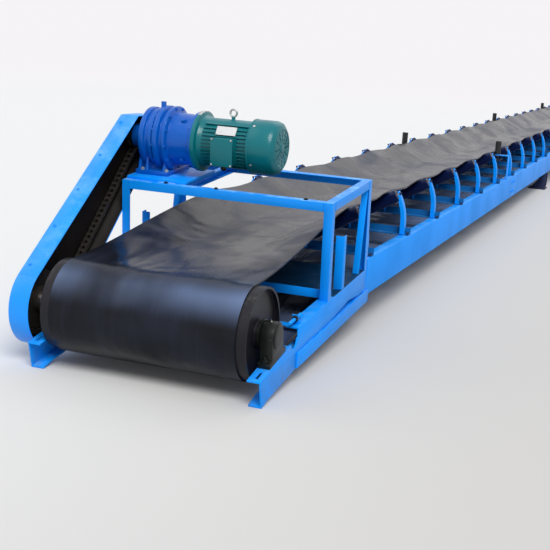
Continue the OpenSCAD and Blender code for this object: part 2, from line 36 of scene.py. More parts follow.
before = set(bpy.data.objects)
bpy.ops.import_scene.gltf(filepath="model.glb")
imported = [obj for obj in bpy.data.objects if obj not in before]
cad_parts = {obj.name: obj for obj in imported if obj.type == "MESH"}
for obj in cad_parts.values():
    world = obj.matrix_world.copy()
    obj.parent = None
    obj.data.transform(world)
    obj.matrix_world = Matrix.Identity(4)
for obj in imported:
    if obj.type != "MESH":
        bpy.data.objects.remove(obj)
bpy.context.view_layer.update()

# the conveyor's own measures, in millimetres, as in the part's source
SHIFT_X, SHIFT_Y = 52.5, -11237.9
DRUM_Z, HEAD_TILT = 319.0, math.radians(4.6)
RAIL_HALF, RAIL_FLANGE, BAR_T = 635.0, 70.0, 8.0
MAIN_TOP, MAIN_BOTTOM, JOINT_Y, RAIL_END = 455.0, 227.0, 1560.0, 22720.0
HEAD_TOP, HEAD_LOW = -46.0, -178.0
SEAT_TILT, SEAT_DROP = math.radians(6.9), 130.0
STAND_FRONT, STAND_REAR, STAND_TOP, STAND_LEG = 785.0, 1558.0, 508.0, 50.0
MOTOR_S, MOTOR_Z = 1062.0, 726.0
BELT_HALF, BELT_T, CARRY_Z, RETURN_Z = 505.0, 9.0, 595.0, 345.0
TROUGH, SAG, FLAT_HALF, WING_L = 30.0, 13.0, 190.0, 350.0
ROLLER_R, TAIL_R, DRUM_R, DRUM_HALF = 44.5, 160.0, 235.0, 556.0
IDLER_FIRST, IDLER_PITCH, IDLER_COUNT = 1650.0, 965.0, 21
LAST_Y = IDLER_FIRST + (IDLER_COUNT - 1) * IDLER_PITCH
TAIL_Y = LAST_Y + 1250.0
TAIL_Z = RETURN_Z + BELT_T + (TAIL_R + 0.3) / math.cos(math.radians(90 / 16))
STATIONS = [IDLER_FIRST + i * IDLER_PITCH for i in range(IDLER_COUNT)]
RETURN_ROWS = [IDLER_FIRST + (i + 0.5) * IDLER_PITCH for i in range(0, IDLER_COUNT, 3)]
GUIDE_Y = [IDLER_FIRST + (5.5 + 6 * j) * IDLER_PITCH + 40 for j in range(3)]
GUIDE_X, GUIDE_Z = FLAT_HALF + 315 * math.cos(math.radians(30)) + 42, 715.0
CHAIN_X = -715.0
GUARD_X = -748.0


def at(x, y, z):
    """A place in the conveyor's millimetres, y from the drum's axis, as a vector in metres."""
    return Vector(((x + SHIFT_X) / 1000, (y + SHIFT_Y) / 1000, z / 1000))


def on_head(x, s, h, tilt=0.0):
    """A place in the head section's own frame: s up its slope, h square to it, tilt for the bearings' seat."""
    s, h = s * math.cos(tilt) - h * math.sin(tilt), s * math.sin(tilt) + h * math.cos(tilt)
    c, n = math.cos(HEAD_TILT), math.sin(HEAD_TILT)
    return at(x, s * c - h * n, DRUM_Z + s * n + h * c)


CHAIN_A = math.atan2(MOTOR_Z, MOTOR_S)
CHAIN_C = math.hypot(MOTOR_S, MOTOR_Z)


def on_chain(x, along, aside):
    """A place along the line from the drum's axis to the gear motor's, and aside from it."""
    c, n = math.cos(CHAIN_A), math.sin(CHAIN_A)
    return on_head(x, along * c - aside * n, along * n + aside * c)


def head_dir(x, s, h, tilt=0.0):
    a = HEAD_TILT + tilt
    return Vector((x, s * math.cos(a) - h * math.sin(a), s * math.sin(a) + h * math.cos(a)))


# shader maths
class Wire:
    """One output socket of a material's nodes, with arithmetic on it."""

    def __init__(self, kit, socket):
        self.kit, self.socket = kit, socket

    def _math(self, operation, a, b=None):
        values = {0: a} if b is None else {0: a, 1: b}
        return self.kit.node("ShaderNodeMath", {"operation": operation}, values)

    def __add__(self, other):
        return self._math("ADD", self, other)

    def __radd__(self, other):
        return self._math("ADD", other, self)

    def __sub__(self, other):
        return self._math("SUBTRACT", self, other)

    def __rsub__(self, other):
        return self._math("SUBTRACT", other, self)

    def __mul__(self, other):
        return self._math("MULTIPLY", self, other)

    def __rmul__(self, other):
        return self._math("MULTIPLY", other, self)

    def __truediv__(self, other):
        return self._math("DIVIDE", self, other)

    def __gt__(self, other):
        return self._math("GREATER_THAN", self, other)

    def clamp(self):
        return self.kit.node("ShaderNodeClamp", {}, {"Value": self})

    def peak(self, other):
        return self._math("MAXIMUM", self, other)


class Finish:
    """A material and the short calls that build its nodes."""

    def __init__(self, name, metallic=0.0, coat=0.0, specular=0.5):
        self.material = bpy.data.materials.new(name)
        self.material.use_nodes = True
        self.tree = self.material.node_tree
        self.shader = self.tree.nodes["Principled BSDF"]
        self.shader.inputs["Metallic"].default_value = metallic
        self.shader.inputs["Coat Weight"].default_value = coat
        self.shader.inputs["Coat Roughness"].default_value = 0.12
        self.shader.inputs["Specular IOR Level"].default_value = specular
        self.place = self.node("ShaderNodeTexCoord", {}, {}, "Object")
        geometry = self.node("ShaderNodeNewGeometry", {}, {}, "Normal")
        self.up = self.node("ShaderNodeSeparateXYZ", {}, {"Vector": geometry}, "Z")
        self.height = self.node("ShaderNodeSeparateXYZ", {}, {"Vector": self.place}, "Z")

    def node(self, kind, settings, values, output=0):
        made = self.tree.nodes.new(kind)
        for key, value in settings.items():
            setattr(made, key, value)
        for key, value in values.items():
            self.join(made.inputs[key], value)
        return Wire(self, made.outputs[output])

    def join(self, socket, value):
        if isinstance(value, Wire):
            self.tree.links.new(value.socket, socket)
        else:
            socket.default_value = value

    def noise(self, scale, detail=3.0, rough=0.55, stretch=None, warp=0.0):
        place = self.place
        if stretch:
            place = self.node("ShaderNodeMapping", {}, {"Vector": place, "Scale": stretch})
        return self.node("ShaderNodeTexNoise", {}, {"Vector": place, "Scale": scale, "Detail": detail,
                                                    "Roughness": rough, "Distortion": warp}, "Fac")

    def ramp(self, value, low, high):
        """A soft step: 0 below low, 1 above high."""
        return self.node("ShaderNodeMapRange", {"interpolation_type": "SMOOTHSTEP", "clamp": True},
                         {"Value": value, "From Min": low, "From Max": high})

    def mix(self, mask, a, b):
        made = self.tree.nodes.new("ShaderNodeMix")
        made.data_type = "RGBA"
        for socket, value in ((made.inputs[0], mask), (made.inputs[6], a), (made.inputs[7], b)):
            self.join(socket, value)
        return Wire(self, made.outputs[2])

    def bump(self, height, distance, strength=1.0):
        return self.node("ShaderNodeBump", {}, {"Height": height, "Distance": distance, "Strength": strength}, "Normal")

    def finish(self, color, roughness, normal=None):
        self.join(self.shader.inputs["Base Color"], color)
        self.join(self.shader.inputs["Roughness"], roughness)
        if normal is not None:
            self.join(self.shader.inputs["Normal"], normal)
        return self.material


def linear(color):
    """An sRGB colour given in 0..255 as the linear colour that sockets take."""
    out = [((c / 255 + 0.055) / 1.055) ** 2.4 if c > 10 else c / 255 / 12.92 for c in color]
    return (*out, 1.0)


def sprayed(name, color, dust=0.3, rough=0.36, coat=0.0, grime=0.35, specular=0.11):
    """Gloss spray paint with orange peel, drifts of tone, rubbed spots, and on upward faces dust mixed with a painted
    pale blue sky highlight.
    """
    kit = Finish(name, coat=coat, specular=specular)
    base = linear(color)
    deep = tuple(c * 0.7 for c in base[:3]) + (1.0,)
    drift = kit.ramp(kit.noise(1.7, 4.0), 0.35, 0.7)
    tone = kit.mix(drift * 0.45, base, deep)
    # upward faces turn pale sky blue, weighted by dust: partly settled dust, partly a painted highlight standing in for
    # the sky's reflection
    dust_and_sky_sheen = kit.ramp(kit.up, 0.55, 0.95) * kit.ramp(kit.noise(9.0, 6.0, 0.7), 0.42, 0.75) * dust
    tone = kit.mix(dust_and_sky_sheen, tone, linear((150, 205, 250)))
    low = (1 - kit.ramp(kit.height, 0.0, 0.22)) * kit.ramp(kit.noise(14.0, 5.0, 0.65), 0.35, 0.7) * grime
    tone = kit.mix(low, tone, linear((96, 92, 86)))
    rubbed = kit.ramp(kit.noise(34.0, 5.0, 0.75, (1, 0.25, 1)), 0.69, 0.74) * 0.5
    tone = kit.mix(rubbed, tone, linear([c * 0.45 + 40 for c in color]))
    roughness = (rough + dust_and_sky_sheen * 0.3 + drift * 0.08 + rubbed * 0.25).clamp()
    peel = kit.noise(420.0, 2.0) * 0.6 + kit.noise(60.0, 2.0) * 0.8 + rubbed * -0.6
    return kit.finish(tone, roughness, kit.bump(peel, 0.00018))


def worn_rubber():
    """Conveyor belt rubber: near black, dusty and polished in streaks along the run, with fine scuffs and a painted
    pale blue highlight on its upward faces where it wraps the drums.
    """
    kit = Finish("belt_rubber", specular=0.16)
    streak = kit.noise(1.0, 4.0, 0.6, (20.0, 0.7, 1.1), 0.2)
    band = kit.noise(1.0, 3.0, 0.55, (1.7, 0.7, 1.2), 0.6)
    worn = (kit.ramp(streak, 0.45, 0.7) * 0.22 + kit.ramp(band, 0.38, 0.68) * 0.6).clamp()
    run = kit.ramp(kit.height, 0.5, 0.58)
    tone = kit.mix(worn, linear((16, 17, 22)), linear((34, 39, 55)))
    dusty = kit.ramp(kit.noise(2.3, 3.0, 0.6, (1.3, 0.6, 1.0), 0.6), 0.42, 0.75) * run * kit.ramp(kit.up, 0.5, 0.9)
    # painted highlight: where the belt wraps the drums, its upward faces turn pale blue in place of the sky's
    # reflection
    painted_drum_sheen = kit.ramp(kit.up, 0.2, 0.95) * kit.ramp(kit.noise(1.0, 3.0, 0.5, (1.2, 0.5, 0.8), 0.3), 0.25, 0.7)
    tone = kit.mix(dusty * 0.3, tone, linear((88, 96, 114)))
    tone = kit.mix(painted_drum_sheen * (1 - run) * 0.75, tone, linear((124, 146, 188)))
    scuff = kit.ramp(kit.noise(1.0, 4.0, 0.7, (5.0, 150.0, 26.0)), 0.69, 0.74) * 0.1
    tone = kit.mix(scuff, tone, linear((120, 120, 128)))
    grain = kit.noise(260.0, 4.0, 0.7)
    tone = kit.mix(kit.ramp(grain, 0.6, 0.8) * 0.08, tone, linear((116, 122, 136)))
    roughness = (0.22 + worn * 0.1 + dusty * 0.22 + scuff * 0.2).clamp()
    swell = kit.noise(1.0, 2.0, 0.5, (2.6, 1.7, 2.2), 0.4)
    height = grain * 0.5 + kit.noise(38.0, 2.0) * 0.12 + scuff + swell * 70.0
    return kit.finish(tone, roughness, kit.bump(height, 0.0006))


def bare_steel(name, color, rough, metallic=0.9, rings=0.0):
    """Machined or rolled steel with oil stains; rings adds turning marks across X."""
    kit = Finish(name, metallic=metallic)
    base = linear(color)
    stain = kit.ramp(kit.noise(7.0, 5.0, 0.65), 0.45, 0.72)
    tone = kit.mix(stain * 0.6, base, tuple(c * 0.35 for c in base[:3]) + (1.0,))
    fleck = kit.ramp(kit.noise(70.0, 4.0, 0.7), 0.62, 0.74)
    tone = kit.mix(fleck * 0.35, tone, linear((104, 74, 52)))
    marks = kit.noise(1.0, 2.0, 0.5, (900.0, 6.0, 6.0)) if rings else kit.noise(120.0, 4.0)
    return kit.finish(tone, (rough + stain * 0.2 + fleck * 0.15).clamp(), kit.bump(marks, 0.00015))


def rough_cast(name, color, rough=0.5, metallic=0.0, dusting=0.3, specular=0.4):
    """Cast or dipped dark parts: grainy skin, rust specks and dust on top."""
    kit = Finish(name, metallic=metallic, specular=specular)
    base = linear(color)
    grain = kit.noise(190.0, 5.0, 0.7)
    tone = kit.mix(kit.ramp(kit.noise(6.0, 5.0, 0.65), 0.4, 0.7) * 0.5, base, tuple(min(1.0, c * 2.2 + 0.004) for c in base[:3]) + (1.0,))
    dust = kit.ramp(kit.up, 0.4, 0.95) * kit.ramp(kit.noise(22.0, 5.0, 0.7), 0.45, 0.75) * dusting
    tone = kit.mix(dust, tone, linear((128, 126, 122)))
    speck = kit.ramp(kit.noise(48.0, 4.0, 0.7), 0.68, 0.76) * 0.45
    tone = kit.mix(speck, tone, linear((92, 58, 38)))
    return kit.finish(tone, (rough + dust * 0.4 + speck * 0.2).clamp(), kit.bump(grain, 0.0005))


FINISHES = {}


def make_finishes(settings):
    blue = [c * 255 for c in settings.frame_blue]
    FINISHES.update({
        "frame_blue": sprayed("frame_blue", blue),
        # guard_blue and stand_blue take more of the pale top mix than frame_blue: a painted highlight on their upward
        # faces, partly dust
        "guard_blue": sprayed("guard_blue", blue, 0.5, 0.32, specular=0.4),
        "stand_blue": sprayed("stand_blue", blue, 1.0, 0.34, specular=0.3),
        # the head deck's paint is the frame blue darkened to a third: painted shade for a part in shadow under the belt
        "deck_painted_shade_blue": sprayed("deck_painted_shade_blue", [c * 0.3 for c in blue], 0.05, 0.4),
        # the idler bases' paint is the frame blue darkened: painted shade for parts in shadow under the belt
        "idler_painted_shade_blue": sprayed("idler_painted_shade_blue", [c * 0.62 for c in blue], 0.2, 0.4),
        # near-black painted shade for the inside of the chain guard, whose inner faces are blue
        "guard_painted_shade_black": rough_cast("guard_painted_shade_black", (20, 15, 14), 0.6, dusting=0.0, specular=0.15),
        "reducer_blue": sprayed("reducer_blue", (0, 88, 182), 0.0, 0.28, 0.1, 0.0, 0.3),
        "motor_green": sprayed("motor_green", [c * 255 for c in settings.motor_green], 0.0, 0.3, 0.1, 0.0, 0.3),
        "belt_rubber": worn_rubber(),
        # the rollers' dark navy is painted shade: they are blue and sit in shadow under the belt
        "roller_navy": sprayed("roller_navy", (10, 22, 62), 0.2, 0.36, 0.1),
        "drum_dark": rough_cast("drum_dark", (18, 18, 24), 0.42, dusting=0.2, specular=0.25),
        "steel": bare_steel("steel", (172, 172, 176), 0.3, rings=1.0),
        "zinc": bare_steel("zinc", (196, 198, 196), 0.34, 0.85),
        "chain_steel": bare_steel("chain_steel", (92, 86, 80), 0.42, 0.8),
        "bearing_dark": rough_cast("bearing_dark", (16, 20, 18), 0.38, dusting=0.15, specular=0.25),
        # the feet's dark navy is painted shade: they are blue steel in shadow under the rails; the idler foot bolts and
        # wing axle nuts share it
        "foot_dark": rough_cast("foot_dark", (14, 26, 58), 0.5, dusting=0.1, specular=0.25),
        "guide_black": rough_cast("guide_black", (20, 20, 22), 0.6),
        "seal_grey": rough_cast("seal_grey", (70, 66, 62), 0.45),
        "plate_bare": bare_steel("plate_bare", (205, 207, 208), 0.36, 0.75),
    })


# mesh helpers
def keep(obj, body, *nodes, slot=None):
    """A finished piece: it rides a body and may replace nodes; its slot argument is not used."""
    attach(obj, body)
    if nodes:
        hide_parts(*nodes)
    return obj


def from_bmesh(name, bm, finishes, angle=35.0):
    mesh = bpy.data.meshes.new(name)
    bm.to_mesh(mesh)
    bm.free()
    for key in finishes:
        mesh.materials.append(FINISHES[key])
    mesh.polygons.foreach_set("use_smooth", [True] * len(mesh.polygons))
    mesh.set_sharp_from_angle(angle=math.radians(angle))
    obj = bpy.data.objects.new(name, mesh)
    bpy.context.scene.collection.objects.link(obj)
    return obj


def settle(obj):
    """The evaluated result of an object's modifiers becomes its plain mesh."""
    mesh = bpy.data.meshes.new_from_object(obj.evaluated_get(bpy.context.evaluated_depsgraph_get()))
    obj.modifiers.clear()
    obj.data = mesh
    return obj


def softened(node, finish, width, segments=2):
    """A merged copy of a CAD node with its sharp edges broken, which stands for the node."""
    bm = bmesh.new()
    bm.from_mesh(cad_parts[node].data)
    bmesh.ops.remove_doubles(bm, verts=bm.verts, dist=2e-5)
    bmesh.ops.dissolve_limit(bm, angle_limit=math.radians(0.4), verts=bm.verts, edges=bm.edges)
    obj = from_bmesh(node + "_dressed", bm, [finish])
    if width:
        edge = obj.modifiers.new("broken edges", "BEVEL")
        edge.width = width / 1000
        edge.segments = segments
        edge.limit_method = "ANGLE"
        edge.angle_limit = math.radians(38)
        edge.use_clamp_overlap = False
        edge.harden_normals = False
        settle(obj)
        obj.data.polygons.foreach_set("use_smooth", [True] * len(obj.data.polygons))
        obj.data.set_sharp_from_angle(angle=math.radians(48))
    return obj


def lathe(bm, outline, origin, axis, turns=32, slot=0):
    """Turns an outline of (length, radius) millimetres about an axis direction through an origin."""
    axis = Vector(axis).normalized()
    side = axis.orthogonal().normalized()
    other = axis.cross(side)
    rings = []
    for length, radius in outline:
        centre = origin + axis * length / 1000
        if radius < 0.01:
            rings.append([bm.verts.new(centre)])
            continue
        rings.append([bm.verts.new(centre + (side * math.cos(a) + other * math.sin(a)) * radius / 1000)
                      for a in (k * math.tau / turns for k in range(turns))])
    for low, high in zip(rings, rings[1:]):
        for k in range(turns):
            j = (k + 1) % turns
            corners = [low[k % len(low)], low[j % len(low)], high[j % len(high)], high[k % len(high)]]
            corners = list(dict.fromkeys(corners))
            if len(corners) > 2:
                bm.faces.new(corners).material_index = slot


def block(bm, corner_a, corner_b, place=at, slot=0):
    """A rectangular block between two corners, given in a placing function's own frame."""
    ends = [(min(a, b), max(a, b)) for a, b in zip(corner_a, corner_b)]
    verts = [bm.verts.new(place(*(ends[i][(n >> i) & 1] for i in range(3)))) for n in range(8)]
    for ring in ((0, 2, 3, 1), (4, 5, 7, 6), (0, 1, 5, 4), (2, 6, 7, 3), (0, 4, 6, 2), (1, 3, 7, 5)):
        bm.faces.new([verts[i] for i in ring]).material_index = slot


# geometry node trees
class Weave:
    """Builds one geometry tree with named inputs."""

    def __init__(self, name):
        self.tree = bpy.data.node_groups.new(name, "GeometryNodeTree")
        self.tree.interface.new_socket("Geometry", in_out="INPUT", socket_type="NodeSocketGeometry")
        self.tree.interface.new_socket("Geometry", in_out="OUTPUT", socket_type="NodeSocketGeometry")
        self.start = self.tree.nodes.new("NodeGroupInput")
        self.end = self.tree.nodes.new("NodeGroupOutput")

    def size(self, name, default, kind="NodeSocketFloat"):
        made = self.tree.interface.new_socket(name, in_out="INPUT", socket_type=kind)
        if default is not None:
            made.default_value = default
        return self.start.outputs[name]

    def node(self, kind, settings, values, output=0):
        made = self.tree.nodes.new(kind)
        for key, value in settings.items():
            setattr(made, key, value)
        for key, value in values.items():
            if isinstance(value, bpy.types.NodeSocket):
                self.tree.links.new(value, made.inputs[key])
            else:
                made.inputs[key].default_value = value
        return made.outputs[output]

    def maths(self, operation, a, b):
        return self.node("ShaderNodeMath", {"operation": operation}, {0: a, 1: b})

    def cylinder(self, sides, radius, depth, lift):
        """A cylinder whose lower end stands at a height."""
        shape = self.node("GeometryNodeMeshCylinder", {}, {"Vertices": sides, "Radius": radius, "Depth": depth}, "Mesh")
        return self.lifted(shape, self.maths("ADD", self.maths("MULTIPLY", depth, 0.5), lift))

    def cone(self, sides, top, bottom, depth, lift):
        shape = self.node("GeometryNodeMeshCone", {}, {"Vertices": sides, "Radius Top": top, "Radius Bottom": bottom,
                                                       "Depth": depth}, "Mesh")
        return self.lifted(shape, lift)

    def lifted(self, shape, lift):
        vector = self.node("ShaderNodeCombineXYZ", {}, {"Z": lift})
        return self.node("GeometryNodeTransform", {}, {"Geometry": shape, "Translation": vector}, "Geometry")

    def painted(self, shape, material):
        return self.node("GeometryNodeSetMaterial", {}, {"Geometry": shape, "Material": material}, "Geometry")

    def joined(self, *shapes):
        made = self.tree.nodes.new("GeometryNodeJoinGeometry")
        for shape in shapes:
            self.tree.links.new(shape, made.inputs[0])
        return made.outputs[0]

    def placed(self, shape, sharp=35.0):
        """Puts the shape on every point, with its Z along the point's own axis, and ends the tree."""
        axis = self.node("GeometryNodeInputNamedAttribute", {"data_type": "FLOAT_VECTOR"}, {"Name": "axis"}, "Attribute")
        turn = self.node("FunctionNodeAlignRotationToVector", {"axis": "Z"}, {"Vector": axis}, "Rotation")
        copies = self.node("GeometryNodeInstanceOnPoints", {}, {"Points": self.start.outputs[0], "Instance": shape,
                                                                "Rotation": turn}, "Instances")
        self.close(self.node("GeometryNodeRealizeInstances", {}, {"Geometry": copies}, "Geometry"))

    def close(self, geometry):
        self.tree.links.new(geometry, self.end.inputs[0])
        return self.tree


def grown(name, tree, points, edges, sizes, slots, axes=None, sharp=35.0):
    """Runs a tree on points or lines with the named sizes set, and turns its result into a plain mesh."""
    mesh = bpy.data.meshes.new(name)
    mesh.from_pydata(points, edges, [])
    if axes:
        attribute = mesh.attributes.new("axis", "FLOAT_VECTOR", "POINT")
        attribute.data.foreach_set("vector", [c for axis in axes for c in Vector(axis).normalized()])
    obj = bpy.data.objects.new(name, mesh)
    bpy.context.scene.collection.objects.link(obj)
    maker = obj.modifiers.new("made", "NODES")
    maker.node_group = tree
    for item in tree.interface.items_tree:
        if item.in_out == "INPUT" and item.name in sizes:
            maker[item.identifier] = sizes[item.name]
    bpy.context.view_layer.update()
    settle(obj)
    if "axis" in obj.data.attributes:
        obj.data.attributes.remove(obj.data.attributes["axis"])
    obj.data.polygons.foreach_set("use_smooth", [True] * len(obj.data.polygons))
    obj.data.set_sharp_from_angle(angle=math.radians(sharp))
    return obj


TREES = {}


def make_trees():
    bolt = Weave("hex_fastener")
    flats, head = bolt.size("Across Flats", 0.024), bolt.size("Head Height", 0.010)
    washer, plate = bolt.size("Washer Radius", 0.017), bolt.size("Washer Thickness", 0.003)
    stud, stud_h = bolt.size("Stud Radius", 0.007), bolt.size("Stud Height", 0.004)
    finish = bolt.size("Finish", None, "NodeSocketMaterial")
    corner = bolt.maths("MULTIPLY", flats, 0.5774)
    top = bolt.maths("ADD", plate, head)
    shape = bolt.joined(
        bolt.cylinder(14, washer, plate, 0.0),
        bolt.cylinder(6, corner, bolt.maths("MULTIPLY", head, 0.86), plate),
        bolt.cone(12, bolt.maths("MULTIPLY", flats, 0.42), bolt.maths("MULTIPLY", flats, 0.51),
                  bolt.maths("MULTIPLY", head, 0.14), bolt.maths("ADD", plate, bolt.maths("MULTIPLY", head, 0.86))),
        bolt.cylinder(8, stud, stud_h, top))
    bolt.placed(bolt.painted(shape, finish))
    TREES["fastener"] = bolt.tree

    bead = Weave("weld_bead")
    radius, ripple = bead.size("Bead Radius", 0.004), bead.size("Ripple Length", 0.005)
    finish = bead.size("Finish", None, "NodeSocketMaterial")
    curve = bead.node("GeometryNodeMeshToCurve", {}, {"Mesh": bead.start.outputs[0]}, "Curve")
    curve = bead.node("GeometryNodeResampleCurve", {"mode": "LENGTH"}, {"Curve": curve, "Length": ripple}, "Curve")
    index = bead.node("GeometryNodeInputIndex", {}, {})
    wave = bead.maths("ADD", bead.maths("MULTIPLY", bead.maths("MODULO", index, 2.0), 0.28), 0.8)
    curve = bead.node("GeometryNodeSetCurveRadius", {}, {"Curve": curve, "Radius": wave}, "Curve")
    ring = bead.node("GeometryNodeCurvePrimitiveCircle", {}, {"Resolution": 6, "Radius": radius}, "Curve")
    values = {"Curve": curve, "Profile Curve": ring, "Fill Caps": True}
    made = bead.tree.nodes.new("GeometryNodeCurveToMesh")
    for key, value in values.items():
        if isinstance(value, bool):
            made.inputs[key].default_value = value
        else:
            bead.tree.links.new(value, made.inputs[key])
    if "Scale" in made.inputs:
        bead.tree.links.new(wave, made.inputs["Scale"])
    solid = bead.node("GeometryNodeRealizeInstances", {}, {"Geometry": made.outputs[0]}, "Geometry")
    bead.close(bead.painted(solid, finish))
    TREES["weld"] = bead.tree

    roller = Weave("conveyor_roller")
    radius, length = roller.size("Roller Radius", 0.0445), roller.size("Roller Length", 0.35)
    axle, axle_l = roller.size("Axle Radius", 0.010), roller.size("Axle Length", 0.39)
    cap = roller.size("Cap Radius", 0.031)
    finish = roller.size("Shell Finish", None, "NodeSocketMaterial")
    seal = roller.size("Seal Finish", None, "NodeSocketMaterial")
    steel = roller.size("Axle Finish", None, "NodeSocketMaterial")
    half = roller.maths("MULTIPLY", length, 0.5)
    rim = roller.maths("MULTIPLY", radius, 0.06)
    body_l = roller.maths("SUBTRACT", length, roller.maths("MULTIPLY", rim, 2.0))
    start = roller.maths("ADD", roller.maths("MULTIPLY", half, -1.0), rim)
    inner = roller.maths("SUBTRACT", radius, rim)
    back = roller.maths("MULTIPLY", half, -1.0)
    shell = roller.joined(
        roller.cylinder(32, radius, body_l, start),
        roller.cone(32, inner, radius, rim, roller.maths("SUBTRACT", half, rim)),
        roller.cone(32, radius, inner, rim, back))
    ends = roller.joined(
        roller.cone(24, roller.maths("MULTIPLY", cap, 0.8), cap, 0.005, half),
        roller.cone(24, cap, roller.maths("MULTIPLY", cap, 0.8), 0.005, roller.maths("SUBTRACT", back, 0.005)))
    rod = roller.cylinder(12, axle, axle_l, roller.maths("MULTIPLY", axle_l, -0.5))
    roller.placed(roller.joined(roller.painted(shell, finish), roller.painted(ends, seal), roller.painted(rod, steel)))
    TREES["roller"] = roller.tree


def fasteners(name, places, axes, flats=24.0, finish="zinc", washer=None, head=None, stud=None, body="frame", slot=None):
    sizes = {"Across Flats": flats / 1000, "Head Height": (head or flats * 0.42) / 1000,
             "Washer Radius": (washer or flats * 0.78) / 1000, "Washer Thickness": flats * 0.11 / 1000,
             "Stud Radius": flats * 0.27 / 1000, "Stud Height": (flats * 0.16 if stud is None else stud) / 1000,
             "Finish": FINISHES[finish]}
    return keep(grown(name, TREES["fastener"], places, [], sizes, [finish], axes), body, slot=slot)


def beads(name, lines, radius=3.5, finish="frame_blue", slot="frame_blue"):
    """Weld beads along lists of places."""
    points, edges = [], []
    for line in lines:
        edges += [(len(points) + k, len(points) + k + 1) for k in range(len(line) - 1)]
        points += line
    sizes = {"Bead Radius": radius / 1000, "Ripple Length": 0.0055, "Finish": FINISHES[finish]}
    return keep(grown(name, TREES["weld"], points, edges, sizes, [finish], sharp=80.0), "frame", slot=slot)


# what a user would change
class ConveyorLook(bpy.types.PropertyGroup):
    frame_blue: bpy.props.FloatVectorProperty(
        name="Frame blue", description="Spray paint of the steelwork, as it looks in daylight",
        subtype="COLOR", size=3, min=0, max=1, default=(0.035, 0.59, 1.0))
    motor_green: bpy.props.FloatVectorProperty(
        name="Motor green", description="Paint of the motor and its cowl",
        subtype="COLOR", size=3, min=0, max=1, default=(0.0, 0.42, 0.45))
    broken_edge: bpy.props.FloatProperty(
        name="Broken edge", description="Width of the small bevel on cut steel edges",
        subtype="DISTANCE", unit="LENGTH", min=0, max=0.003, default=0.0013)
    bead: bpy.props.FloatProperty(
        name="Weld bead", description="Radius of the weld beads",
        subtype="DISTANCE", unit="LENGTH", min=0.001, max=0.008, default=0.0038)
    edge_wave: bpy.props.FloatProperty(
        name="Belt edge wave", description="How far the belt's edges wander between two idlers",
        subtype="DISTANCE", unit="LENGTH", min=0, max=0.01, default=0.004)
    floor_tone: bpy.props.FloatProperty(
        name="Floor tone", description="Grey level of the studio floor", min=0, max=1, default=0.70)


def look():
    return bpy.context.scene.conveyor_look


# studio
CAMERA_PLACE = Vector((2.4303, -16.2612, 1.7266))
CAMERA_YAW, CAMERA_PITCH, CAMERA_ROLL = 0.3409, 0.2046, -0.0687
LENS_MM, SENSOR_MM = 73.92, 36.0


